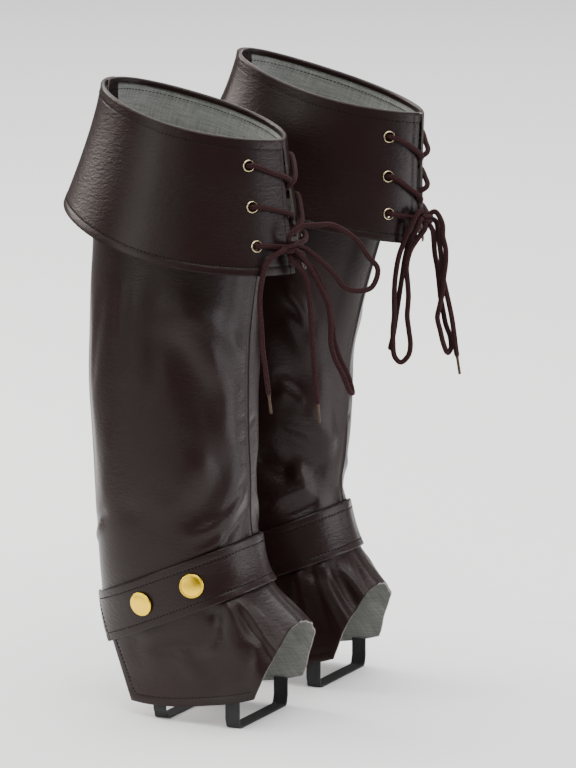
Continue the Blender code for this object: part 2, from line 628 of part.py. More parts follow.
def build_laces(cover, empty, looks):
    """The crossed lace, the knot of the bow, its loops and tails, and the tips of the tails."""
    routes = [("crossed", crossed_route(cover))]
    routes += [(strand.name, strand_route(cover, strand)) for strand in STRANDS[cover.name]]
    for name, route in routes:
        points = in_frame(smooth_route(route), cover)
        place(f"{cover.name}_lace_{name}", cord_data(name, points), empty, looks["lace"])
    knot = KNOTS[cover.name]
    arc = np.radians(np.arange(150, 0, -30))
    profile = [(math.sin(a) * KNOT_RADIUS * MM, math.cos(a) * KNOT_RADIUS * MM) for a in arc]
    profile = [(0, -KNOT_RADIUS * MM)] + profile + [(0, KNOT_RADIUS * MM)]
    centre = in_frame((knot.outward, knot.forward, knot.height), cover)
    mesh = turned_mesh(f"{cover.name}_lace_knot", profile, 12)
    place(mesh.name, mesh, empty, looks["lace"], Matrix.Translation(Vector(centre)))
    for strand in STRANDS[cover.name]:
        if strand.tip:
            points = in_frame(smooth_route(strand_route(cover, strand)), cover)
            way = (points[-1] - points[-2]) / np.linalg.norm(points[-1] - points[-2])
            profile = [(0, 0), (TIP_RADIUS, 0), (TIP_RADIUS, TIP_LENGTH), (0, TIP_LENGTH)]
            mesh = turned_mesh(f"{cover.name}_lace_tip_{strand.name[5:]}", profile, 8)
            place(mesh.name, mesh, empty, looks["tip"], frame_matrix(points[-1] + way * GAP, way))


# ---- One cover ----------------------------------------------------------------------------------
def build_shaft(cover, empty, look):
    rows = len(panel_rows(cover))
    shares = np.array(COLUMN_TURNS) / BACK_LAP
    share, row_at = np.meshgrid(shares, np.arange(rows))
    welt = SEAM_LIFT / MM * (share == 0)
    for hand, name in ((1, "outer"), (-1, "inner")):
        outer = panel_points(cover, hand, share, row_at, welt)
        inner = panel_points(cover, hand, share, row_at, np.full(share.shape, -WALL / MM))
        mesh = grid_solid(f"{cover.name}_shaft_{name}", in_frame(outer, cover), in_frame(inner, cover))
        place(mesh.name, mesh, empty, look)


def slit_turn(cover, depth):
    """The turn of the slit's edge at a depth down the cuff."""
    turns = np.linspace(0.0, 30.0, 400)
    ring = cuff_surface(cover, turns, np.full(turns.shape, depth))
    half = cover.cuff.slit_at_rim + (cover.cuff.slit_at_hem - cover.cuff.slit_at_rim) * depth
    return float(np.interp(half, ring[:, 0], turns))


@lru_cache(maxsize=None)
def cuff_grid(cover, hand):
    """The points of a cuff half's outer face and their normals, rows down and columns back."""
    share, depth = np.meshgrid(np.array(COLUMN_TURNS) / BACK_LAP, CUFF_DEPTHS)
    edge = np.array([slit_turn(cover, d) for d in CUFF_DEPTHS])[:, None]
    turn = edge + (BACK_LAP - edge) * share
    base = cuff_surface(cover, hand * turn, depth)
    normal = outward_normals(cuff_surface, cover, hand * turn, depth, -0.01)
    if hand < 0:
        under = (CUFF_WALL + GAP) / MM * smooth_step(turn, *LAP_EASE)
        base = base - normal * under[..., None]
    return base, normal


def cuff_points(cover, hand, share, depth, offset):
    """Points of a cuff half, between those of its grid, by the share of the way from the slit to
    the back edge and the depth; moved out by offset, in millimetres. Gives their normals too."""
    share, depth = np.broadcast_arrays(np.asarray(share, float), np.asarray(depth, float))
    columns, rows = np.array(COLUMN_TURNS) / BACK_LAP, np.array(CUFF_DEPTHS)
    j = np.clip(np.searchsorted(columns, share, side="right") - 1, 0, len(columns) - 2)
    i = np.clip(np.searchsorted(rows, depth, side="right") - 1, 0, len(rows) - 2)
    across = ((share - columns[j]) / (columns[j + 1] - columns[j]))[..., None]
    down = ((depth - rows[i]) / (rows[i + 1] - rows[i]))[..., None]
    found = []
    for grid in cuff_grid(cover, hand):
        upper = grid[i, j] * (1 - across) + grid[i, j + 1] * across
        lower = grid[i + 1, j] * (1 - across) + grid[i + 1, j + 1] * across
        found.append(upper * (1 - down) + lower * down)
    base, normal = found
    normal = normal / np.linalg.norm(normal, axis=-1, keepdims=True)
    return base + normal * np.asarray(offset, float)[..., None], normal


def cuff_share(cover, depth):
    """Share of the way round a cuff half where its eyelets lie."""
    shares = np.linspace(0, 0.4, 160)
    ring, _ = cuff_points(cover, 1, shares, np.full(shares.shape, depth), 0.0)
    run = np.concatenate([[0], np.cumsum(np.linalg.norm(np.diff(ring, axis=0), axis=1))])
    return float(np.interp(cover.cuff.eyelet_inset, run, shares))


def eyelet_places(cover, hand):
    """Centre and outward normal of each lace hole of a cuff half, in millimetres."""
    places = []
    for depth in EYELET_DEPTHS:
        point, normal = cuff_points(cover, hand, cuff_share(cover, depth), depth, 0.0)
        places.append((point, normal))
    return places


def build_cuff(cover, empty, look):
    for hand, name in ((1, "outer"), (-1, "inner")):
        outer, normal = cuff_grid(cover, hand)
        inner = outer - normal * CUFF_WALL / MM
        mesh = grid_solid(f"{cover.name}_cuff_{name}", in_frame(outer, cover), in_frame(inner, cover))
        cuff = place(mesh.name, mesh, empty, look)
        for index, (point, normal) in enumerate(eyelet_places(cover, hand), 1):
            bar = turned_mesh("lace_hole", [(0, -8 * MM), (EYELET_HOLE, -8 * MM),
                                            (EYELET_HOLE, 8 * MM), (0, 8 * MM)], 10)
            matrix = frame_matrix(in_frame(point, cover), normal * np.array([cover.side, -1, 1]))
            cutter = place(f"{cuff.name}_hole_{index}", bar, empty, look, matrix)
            cutter.hide_render = True
            cutter.display_type = "WIRE"
            cut = cuff.modifiers.new(f"hole_{index}", "BOOLEAN")
            cut.operation = "DIFFERENCE"
            cut.object = cutter


def build_eyelets(cover, empty, look):
    mesh = turned_mesh(f"{cover.name}_eyelet", [(r * MM, z * MM) for r, z in EYELET_PROFILE], 10)
    for hand, name in ((1, "outer"), (-1, "inner")):
        for index, (point, normal) in enumerate(eyelet_places(cover, hand), 1):
            matrix = frame_matrix(in_frame(point, cover), normal * np.array([cover.side, -1, 1]))
            place(f"{cover.name}_eyelet_{name}_{index}", mesh, empty, look, matrix)


def strap_row_at(cover, hand, share, across):
    """The place down the panel's rows where the strap's line lies, by halving."""
    low = np.full(share.shape, float(UPPER_ROWS - 5))
    high = np.full(share.shape, float(len(panel_rows(cover)) - 1))
    for _ in range(30):
        middle = (low + high) / 2
        turn, level = panel_place(panel_rows(cover), share, middle)
        base = leg_surface(cover, hand * turn, level)
        above = above_strap(cover, base) > across / MM
        low = np.where(above, middle, low)
        high = np.where(above, high, middle)
    return (low + high) / 2


def strap_points(cover, hand, share, across, offset):
    """Points on the strap's inner face moved out by offset, in millimetres. They lie on the
    straight lines between the panel's own rows, so the strap stays clear of the panel."""
    share, across = np.broadcast_arrays(np.asarray(share, float), np.asarray(across, float))
    row_at = strap_row_at(cover, hand, share, across)
    offset = offset + STRAP_STAND_OFF / MM + SEAM_LIFT / MM * (1 - smooth_step(share, 0.0, 0.06))
    row = np.floor(row_at)
    upper = panel_points(cover, hand, share, row, offset)
    lower = panel_points(cover, hand, share, row + 1, offset)
    points = upper + (lower - upper) * (row_at - row)[..., None]
    points[..., 0] = np.where(share == 0, 0.0, points[..., 0])
    return points


def build_strap(cover, empty, look):
    shares = np.array(COLUMN_TURNS) / BACK_LAP
    sides = {}
    for hand, end in ((-1, STRAP_ENDS[0]), (1, STRAP_ENDS[1])):
        sides[hand] = np.append(shares[shares < end - 0.03], end)
    across = np.linspace(0.5, -0.5, 5) * STRAP_WIDTH
    grids = []
    for offset in (STRAP_WALL / MM, 0.0):
        parts = []
        for hand in (-1, 1):
            share, cross = np.meshgrid(sides[hand], across)
            part = strap_points(cover, hand, share, cross, offset)
            parts.append(part[:, :0:-1] if hand < 0 else part)
        grids.append(in_frame(np.concatenate(parts, 1), cover))
    mesh = grid_solid(f"{cover.name}_ankle_strap", *grids)
    place(mesh.name, mesh, empty, look)


def build_snaps(cover, empty, look):
    """Snap caps that lie square on the strap's outer face."""
    mesh = turned_mesh(f"{cover.name}_snap", [(r * MM, z * MM) for r, z in SNAP_PROFILE], 18)
    for index, share in enumerate(SNAP_PLACES, 1):
        around = share + np.array([-1, 0, 1, 0]) * 0.02
        across = SNAP_RISE + np.array([0, 1, 0, -1]) * 5 * MM
        ring = in_frame(strap_points(cover, 1, around, across, STRAP_WALL / MM), cover)
        centre = in_frame(strap_points(cover, 1, share, SNAP_RISE, STRAP_WALL / MM), cover)
        axis = np.cross(ring[2] - ring[0], ring[1] - ring[3])
        axis = axis * np.sign(axis[0] * cover.side)
        place(f"{cover.name}_snap_{index}", mesh, empty, look, frame_matrix(centre, axis))


def build_elastics(cover, empty, look):
    """Bands sewn inside the hem on both sides, passing under the foot at the floor."""
    bend = ELASTIC_BEND / MM
    for row in ELASTICS:
        forward = np.array([-0.5, 0.0, 0.5]) * ELASTIC_WIDTH / MM + row.forward
        side = []
        for z in np.linspace(ELASTIC_HEM + ELASTIC_LAP, ELASTIC_HEM, 3) / MM:
            faces = [leg_surface(cover, turn_at(cover, f, z), z)[0] for f in forward]
            side.append([(face - (WALL + 2 * GAP) / MM, z) for face in faces])
        for angle in np.radians([0, 30, 60, 90]):
            x = row.foot - bend * (1 - math.cos(angle))
            side.append([(x, bend * (1 - math.sin(angle)))] * 3)
        half = np.array(side)
        path = np.concatenate([half, half[::-1] * np.array([-1.0, 1.0])])
        along = np.gradient(path, axis=0)
        along /= np.linalg.norm(along, axis=-1, keepdims=True)
        inward = np.stack([along[..., 1], -along[..., 0]], -1)
        grids = []
        for depth in (0.0, ELASTIC_WALL / MM):
            x, z = np.moveaxis(path + inward * depth, -1, 0)
            grids.append(in_frame(np.stack([x, np.broadcast_to(forward, x.shape), z], -1), cover))
        mesh = grid_solid(f"{cover.name}_elastic_{row.name}", *grids)
        place(mesh.name, mesh, empty, look)


def build_cover(cover, looks):
    empty = bpy.data.objects.new(f"{cover.name}_cover", None)
    empty.location = (cover.side * COVER_SPACING / 2, 0, 0)
    bpy.context.scene.collection.objects.link(empty)
    build_shaft(cover, empty, looks["hide"])
    build_cuff(cover, empty, looks["hide"])
    build_strap(cover, empty, looks["hide"])
    build_snaps(cover, empty, looks["gold"])
    build_eyelets(cover, empty, looks["brass"])
    build_elastics(cover, empty, looks["elastic"])
    build_laces(cover, empty, looks)


def main():
    for thing in list(bpy.data.objects):
        bpy.data.objects.remove(thing, do_unlink=True)
    looks = {
        "hide": material("dark_brown_coated_fabric", (0.035, 0.022, 0.020), 0.42),
        "lace": material("maroon_braid", (0.046, 0.017, 0.019), 0.85),
        "gold": material("polished_gold_brass", (0.83, 0.56, 0.16), 0.18, 1.0),
        "brass": material("pale_brass", (0.70, 0.60, 0.38), 0.30, 1.0),
        "tip": material("dark_brass", (0.30, 0.24, 0.17), 0.45, 1.0),
        "elastic": material("black_elastic", (0.012, 0.012, 0.013), 0.80),
    }
    for cover in (RIGHT, LEFT):
        build_cover(cover, looks)
    bpy.context.view_layer.update()


main()
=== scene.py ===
import math
import bmesh
import bpy
import numpy as np
from mathutils import Matrix, Vector


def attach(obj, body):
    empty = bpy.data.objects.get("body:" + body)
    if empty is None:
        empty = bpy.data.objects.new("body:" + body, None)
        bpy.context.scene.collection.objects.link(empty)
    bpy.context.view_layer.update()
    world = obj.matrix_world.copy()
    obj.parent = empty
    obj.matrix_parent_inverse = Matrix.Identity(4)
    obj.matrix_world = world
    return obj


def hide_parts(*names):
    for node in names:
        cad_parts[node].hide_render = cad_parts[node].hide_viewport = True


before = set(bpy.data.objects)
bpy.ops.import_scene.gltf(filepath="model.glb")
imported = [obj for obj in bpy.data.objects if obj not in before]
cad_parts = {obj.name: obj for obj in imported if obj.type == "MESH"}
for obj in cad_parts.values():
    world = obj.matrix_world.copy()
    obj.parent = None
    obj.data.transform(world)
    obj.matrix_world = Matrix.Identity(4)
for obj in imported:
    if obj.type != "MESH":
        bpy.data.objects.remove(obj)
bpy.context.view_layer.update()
mm = 0.001
print("frame loaded")

# camera: a long lens, a little above, looking across both covers
view = {"turn": 65.0, "rise": 10.5, "distance": 4500.0, "focal": 5625.0, "across": 48.4, "up": 243.4,
        "sensor": 36, "pixels": 576}
viewTurn, viewRise = math.radians(view["turn"]), math.radians(view["rise"])
viewRight = Vector((math.cos(viewTurn), -math.sin(viewTurn), 0))
flatBack = Vector((-math.sin(viewTurn), -math.cos(viewTurn), 0))
viewBack = flatBack * math.cos(viewRise) + Vector((0, 0, math.sin(viewRise)))
viewUp = viewBack.cross(viewRight)
camData = bpy.data.cameras.new("camera")
camData.sensor_fit = "HORIZONTAL"
camData.sensor_width = view["sensor"]
camData.lens = view["focal"] * view["sensor"] / view["pixels"]
camData.clip_end = 60
camera = bpy.data.objects.new("camera", camData)
bpy.context.scene.collection.objects.link(camera)
spot = (viewRight * view["across"] + viewUp * view["up"] + viewBack * view["distance"]) * mm
camera.matrix_world = Matrix.Translation(spot) @ Matrix((viewRight, viewUp, viewBack)).transposed().to_4x4()
bpy.context.scene.camera = camera


# shader maths: a socket that can be added, multiplied and compared
class Val:
    def __init__(self, tree, socket):
        self.tree, self.socket = tree, socket

    def feed(self, slot, item):
        if isinstance(item, Val):
            self.tree.links.new(item.socket, slot)
        else:
            slot.default_value = item

    def op(self, kind, *items):
        made = self.tree.nodes.new("ShaderNodeMath")
        made.operation = kind
        for slot, item in zip(made.inputs, items):
            self.feed(slot, item)
        return Val(self.tree, made.outputs[0])

    def node(self, kind, settings=None, **inputs):
        made = self.tree.nodes.new(kind)
        for name, value in (settings or {}).items():
            setattr(made, name, value)
        for name, item in inputs.items():
            self.feed(made.inputs[name.replace("_", " ")], item)
        return Val(self.tree, made.outputs[0])

    def __add__(self, other):
        return self.op("ADD", self, other)

    def __radd__(self, other):
        return self.op("ADD", other, self)

    def __sub__(self, other):
        return self.op("SUBTRACT", self, other)

    def __rsub__(self, other):
        return self.op("SUBTRACT", other, self)

    def __mul__(self, other):
        return self.op("MULTIPLY", self, other)

    def __rmul__(self, other):
        return self.op("MULTIPLY", other, self)

    def __truediv__(self, other):
        return self.op("DIVIDE", self, other)

    def sin(self):
        return self.op("SINE", self)

    def abs(self):
        return self.op("ABSOLUTE", self)

    def power(self, other):
        return self.op("POWER", self, other)

    def part(self):
        return self.op("FRACT", self)

    def above(self, other):
        return self.op("GREATER_THAN", self, other)

    def most(self, other):
        return self.op("MAXIMUM", self, other)

    def between(self):
        return self.op("MINIMUM", self, 1.0).most(0.0)

    def wave(self, size):  # from 0 to 1 and back, once in every size
        return (self * (2 * math.pi / size)).sin() * 0.5 + 0.5

    def mix(self, low, high):  # self from 0 to 1 goes from the low colour to the high one
        made = self.tree.nodes.new("ShaderNodeMix")
        made.data_type = "RGBA"
        self.feed(made.inputs[0], self)
        for slot, item in ((made.inputs[6], low), (made.inputs[7], high)):
            self.feed(slot, item if isinstance(item, Val) else (*item, 1))
        return Val(self.tree, made.outputs[2])

    def xyz(self):
        made = self.tree.nodes.new("ShaderNodeSeparateXYZ")
        self.feed(made.inputs[0], self)
        return [Val(self.tree, made.outputs[k]) for k in range(3)]

    def turn(self, angle):  # about the upright axis
        upright = {"rotation_type": "Z_AXIS"}
        return self.node("ShaderNodeVectorRotate", upright, Vector=self, Angle=angle)

    def stretch(self, x, y, z):
        made = self.tree.nodes.new("ShaderNodeVectorMath")
        made.operation = "MULTIPLY"
        self.feed(made.inputs[0], self)
        made.inputs[1].default_value = (x, y, z)
        return Val(self.tree, made.outputs[0])

    def noise(self, size, detail=2.0, rough=0.5):  # size is how wide one blotch is, in metres
        return self.node("ShaderNodeTexNoise", Vector=self, Scale=1 / size, Detail=detail, Roughness=rough)

    def bump(self, height, depth, under=None):
        inputs = {"Height": height, "Distance": depth, "Strength": 1.0}
        if under is not None:
            inputs["Normal"] = under
        return self.node("ShaderNodeBump", **inputs)


def newMaterial(name, **constants):
    made = bpy.data.materials.new(name)
    made.use_nodes = True
    tree = made.node_tree
    shader = tree.nodes["Principled BSDF"]
    for key, value in constants.items():
        shader.inputs[key.replace("_", " ")].default_value = value
    place = Val(tree, tree.nodes.new("ShaderNodeTexCoord").outputs["Object"])
    cut = Val(tree, tree.nodes.new("ShaderNodeTexCoord").outputs["UV"])

    def drive(key, item):
        tree.links.new(item.socket, shader.inputs[key.replace("_", " ")])
    return made, place, cut, drive


# materials
hideLook = {
    "dark": (0.0100, 0.0053, 0.0046), "light": (0.0135, 0.0085, 0.0073), "maroon": (0.0165, 0.0056, 0.0056),
    "blotch": 0.07, "redBlotch": 0.045, "rough": 0.24, "grain": 0.0011, "grainDepth": 0.00009,
    "wrinkle": 0.0055, "wrinkleDepth": 0.00044, "patch": 0.05,
}
hide, place, cut, drive = newMaterial("coatedHide", Specular_IOR_Level=0.22)
blotch = place.noise(hideLook["blotch"], 3)
red = place.noise(hideLook["redBlotch"], 2)
drive("Base Color", red.mix(blotch.mix(hideLook["dark"], hideLook["light"]), hideLook["maroon"]))
grain = place.noise(hideLook["grain"], 3, 0.6)
pebble = place.node("ShaderNodeTexVoronoi", Vector=place, Scale=1 / (hideLook["grain"] * 1.6))
wrinkle = place.stretch(1, 1, 2.8).noise(hideLook["wrinkle"], 5, 0.62)
# finely wrinkled in some places and smooth in others
patch = (place.noise(hideLook["patch"], 2) * 2.4 - 0.7).between()
drive("Roughness", hideLook["rough"] + grain * 0.10 + blotch * 0.06)
ground = place.bump(wrinkle * (patch * 0.8 + 0.3), hideLook["wrinkleDepth"])
drive("Normal", place.bump(grain * 0.6 + pebble * 0.5, hideLook["grainDepth"], ground))

backingLook = {"thread": 0.0011, "dark": (0.080, 0.083, 0.078), "light": (0.36, 0.37, 0.345), "rough": 0.95}
backing, place, cut, drive = newMaterial("wovenBacking", Specular_IOR_Level=0.2,
                                         Roughness=backingLook["rough"])
across, down, _ = cut.xyz()
warp = across.wave(backingLook["thread"])
weft = down.wave(backingLook["thread"])
streakA = cut.stretch(1, 0.06, 1).noise(backingLook["thread"], 2)
streakB = cut.stretch(0.06, 1, 1).noise(backingLook["thread"], 2)
# the streaks are the threads' own mixed greys; the warp and weft term makes the thread crowns lighter and the
# gaps between them darker, painted shade
heatherAndWeaveShade = (streakA + streakB) * 0.8 - 0.3 + (warp * weft) * 0.35
drive("Base Color", heatherAndWeaveShade.mix(backingLook["dark"], backingLook["light"]))
drive("Normal", place.bump(warp * weft + streakA * 0.6, 0.00018))

edgeLook = {"colour": (0.36, 0.31, 0.28), "deep": (0.20, 0.165, 0.15)}
rawEdge, place, cut, drive = newMaterial("cutEdge", Roughness=0.8)
drive("Base Color", place.noise(0.002, 3).mix(edgeLook["deep"], edgeLook["colour"]))

threadLook = {"colour": (0.0025, 0.0017, 0.0017), "light": (0.0065, 0.0040, 0.0040)}
thread, place, cut, drive = newMaterial("sewingThread", Roughness=0.75, Specular_IOR_Level=0.15)
drive("Base Color", place.noise(0.0009, 1).mix(threadLook["colour"], threadLook["light"]))

laceLook = {"plait": 0.0026, "strands": 6.0,
            "dark": (0.0035, 0.0012, 0.0014), "light": (0.044, 0.0120, 0.0135)}
laceBraid, place, cut, drive = newMaterial("laceBraid", Roughness=0.85, Specular_IOR_Level=0.2)
around, along, _ = cut.xyz()
lane = around * laceLook["strands"]
flip = (lane * 0.5).part().above(0.5) * 2 - 1  # every second lane slants the other way
slant = along / laceLook["plait"] + flip * lane.part()
cord = (slant * math.pi).sin().abs()
lobe = (lane * math.pi).sin().abs()
plait = cord.power(0.7) * lobe.power(0.35)
# lighter on the strands' crowns and dark in the grooves between them: painted shade, from the same heights as
# the bump; the noise is the cord's own uneven colour
drive("Base Color", (plait * 0.75 + place.noise(0.0008, 2) * 0.35).mix(laceLook["dark"], laceLook["light"]))
drive("Normal", place.bump(plait, 0.0006))

metals = {  # two colours in stains, and a roughness that is uneven in spots
    "polishedGold": {"deep": (0.95, 0.60, 0.03), "pale": (1.0, 0.66, 0.045), "stain": 0.01,
                     "rough": 0.26, "uneven": 0.05, "spot": 0.0015},
    "paleBrass": {"deep": (0.58, 0.46, 0.25), "pale": (0.78, 0.66, 0.40), "stain": 0.003,
                  "rough": 0.2, "uneven": 0.12, "spot": 0.001},
    "dullTip": {"deep": (0.035, 0.024, 0.018), "pale": (0.10, 0.068, 0.048), "stain": 0.002,
                "rough": 0.35, "uneven": 0.2, "spot": 0.001},
}
metalMaterials = []
for name, look in metals.items():
    made, place, cut, drive = newMaterial(name, Metallic=1.0)
    drive("Base Color", place.noise(look["stain"], 2).mix(look["deep"], look["pale"]))
    drive("Roughness", place.noise(look["spot"], 3) * look["uneven"] + look["rough"])
    metalMaterials.append(made)
gold, brass, tipMetal = metalMaterials

elasticLook = {"rib": 0.0011, "pick": 0.0009, "dark": (0.006, 0.006, 0.007), "light": (0.022, 0.022, 0.024)}
elastic, place, cut, drive = newMaterial("ribbedElastic", Roughness=0.75)
across, down, _ = cut.xyz()
rib = across.wave(elasticLook["rib"])
pick = down.wave(elasticLook["pick"])
# lighter on the rib crowns and darker in the grooves between ribs and picks: painted shade on black elastic,
# from the same heights as the bump
drive("Base Color", (rib * 0.7 + pick * 0.3).mix(elasticLook["dark"], elasticLook["light"]))
drive("Normal", place.bump(rib + pick * 0.3, 0.0003))
print("materials made")

# tables of the two covers, in mm; turn 0 is the front seam and 180 the middle of the back
leg = {  # sections from the top down: height in front, rise to the back, reaches, half width, roundness
    "z": [457.4, 430, 395, 350, 297, 260, 220, 188, 145, 108, 80, 55, 30, 5],
    "rise": [39.5, 36, 29, 20, 11, 5, 1, 0, 0, 0, 0, 0, 0, 0],
    "front": [81.9, 75.3, 69.5, 61.0, 54.5, 53.7, 54.0, 55.4, 57.0, 69.0, 98.7, 130.0, 160.0, 172.0],
    "back": [-61.6, -66.0, -71.5, -72.0, -76.0, -76.8, -74.5, -73.0, -70.3, -69.0, -67.5, -66.5, -66, -66],
    "half": [59.3, 59.0, 60.5, 60.5, 59.5, 58.0, 56.5, 55.0, 52.5, 49.5, 47.5, 47.0, 47.0, 47.0],
    "nose": [1.70, 1.78, 1.95, 2.10, 2.30, 2.40, 2.40, 2.30, 2.25, 2.20, 2.20, 2.20, 2.20, 2.20],
    "heel": [1.90, 2.00, 2.10, 2.20, 2.30, 2.40, 2.40, 2.35, 2.30, 2.25, 2.20, 2.20, 2.20, 2.20],
    "sag": [3, 2, 1, 0, 0, 0, 0, 0, 0, 0, 0, 0, 0, 0],
}
flap = {  # rows of the foot flap: height in front and behind, how far forward each end is, dip between
    "frontZ": [124, 109, 94, 80, 66, 51, 36, 25.5],
    "front": [None, None, None, None, 96.5, 90.5, 85.0, 80.5],
    "backZ": [116, 99, 82, 66, 51, 38, 25, 11.5],
    "back": [None, -68.5, -62.0, -55.5, -48.5, -42.5, -37.0, -31.0],
    "dip": [0, 0, 0, 0, 0, 1, 3, 5],
}
wall = {"shaft": 1.3, "cuff": 1.0, "lap": 188.0, "lapEase": (149.0, 170.0), "lapDrop": 1.8, "cuffDrop": 1.9,
        "gap": 0.3}
spread = {"axis": -8.0, "radius": 58.0}  # a fold's turns are read as mm on a circle of this radius
cuff = {  # rim and hem of the cuff: each pair is (rim, hem)
    "z": (458.4, 356.0), "rise": (39.5, 46.0), "front": (84.6, 99.4), "back": (-67.0, -100.0),
    "half": (62.0, 81.0), "nose": (1.70, 1.90), "heel": (1.90, 1.80), "sag": (3.0, 8.5),
    "flare": 1.3, "roll": 2.0, "tall": 104.0, "eyelets": (0.20, 0.50, 0.785),
    "rimStitch": 8.0, "hemStitch": 6.6, "slitStitch": 6.8,
}
strap = {"width": 40.0, "thick": 2.0, "off": 1.35, "slope": 0.42, "height": 98.9, "ends": (0.95, 1.015),
         "half": 165.0, "calm": (22.0, 38.0), "calmCrease": (19.5, 24.0), "snaps": (0.366, 0.632),
         "snapRise": 0.8, "stitch": 6.4, "overWelt": 0.9, "weltShare": 0.06}
pair = {"middle": 75.0}  # from the middle of the pair to the middle of each cover
rightCover = {
    "name": "right", "side": -1, "slit": (1.0, 8.5), "inset": 35.5, "hemBack": 0, "hemSag": 0,
    "stand": {"z": [0, 520], "lean": [0, 0], "lift": [0, 0]},
    "press": {"z": [0, 520], "front": [0, 0], "back": [0, 0], "half": [0, 0], "nose": [0, 0]},
    "folds": [  # from turn, height to turn, height; half width and lift
        (68, 338, 26, 272, 13, 3.0), (80, 312, 34, 240, 15, -3.2), (20, 214, 60, 158, 13, -3.0),
        (46, 212, 88, 168, 15, 2.2), (150, 330, 146, 170, 15, -2.5), (30, 96, 46, 34, 8, 2.6),
        (44, 104, 62, 36, 8, -2.4), (66, 96, 78, 30, 9, 2.0), (-62, 330, -24, 262, 14, 3.0),
        (-82, 300, -36, 226, 15, -3.0), (-24, 206, -62, 160, 14, -2.6), (-140, 320, -148, 180, 16, -2.5),
        (-38, 100, -52, 34, 9, 2.4), (-58, 100, -74, 34, 9, -2.2)],
    # as the folds, and how far the line bows to one side; first the outer half, then the inner one
    "creases": [
        (62, 330, 2, 286, 9, 1.8, 4), (66, 306, 34, 258, 8, -1.5), (24, 272, 15, 182, 13, 1.6),
        (40, 262, 36, 200, 9, -0.9), (2, 237, 14, 241, 2.4, -0.4), (2, 221, 13, 222, 2.6, -0.4),
        (2, 202, 10, 206, 2.2, -0.3), (2, 256, 10, 253, 2.2, -0.25), (8, 179, 62, 150, 5, 2.1, 3),
        (3, 168, 40, 141, 3.6, -1.5), (5, 192, 38, 160, 5, -1.3), (30, 150, 58, 134, 3.5, 1.2),
        (93, 352, 90, 268, 6.5, 1.3), (81, 348, 84, 258, 6, -1.0), (104, 350, 103, 296, 4.5, 0.9),
        (121, 336, 137, 258, 8, -1.3), (112, 230, 128, 170, 9, 0.9), (70, 190, 104, 160, 8, -0.9),
        (132, 150, 168, 134, 4, 1.3), (124, 162, 160, 150, 4, -1.1), (60, 97, 97, 57, 4.8, -4.0, 2),
        (47, 100, 80, 57, 6, 2.6, 2), (37, 100, 60, 54, 4.8, 2.4), (26, 97, 48, 60, 4.8, -1.7),
        (48, 73, 84, 43, 4.4, 2.6, -2), (57, 65, 90, 37, 4.2, -2.2, -2), (98, 60, 93, 34, 5, 2.0),
        (104, 84, 112, 34, 8, 1.1), (84, 42, 92, 24, 4, -0.9), (118, 78, 122, 44, 5, -0.9),
        (-72, 322, -44, 298, 7, 2.0, -2), (-70, 306, -40, 280, 6, -1.7), (-64, 238, -42, 226, 8, 1.5),
        (-30, 268, -14, 196, 11, 1.3), (-78, 190, -44, 172, 8, -2.2), (-70, 152, -36, 160, 5, 1.8),
        (-8, 176, -40, 146, 4.5, 1.5), (-2, 232, -12, 236, 2, -0.7), (-98, 350, -94, 262, 7, 1.1),
        (-120, 330, -134, 250, 8, -1.1), (-128, 152, -162, 138, 4, 1.1), (-60, 100, -80, 62, 3, 1.5),
        (-52, 99, -76, 58, 3.2, -1.3), (-40, 97, -70, 60, 3.6, 1.5), (-28, 96, -58, 62, 4, -1.4),
        (-18, 96, -46, 62, 4.6, 1.5), (-96, 84, -108, 40, 7, 1.0)],
}
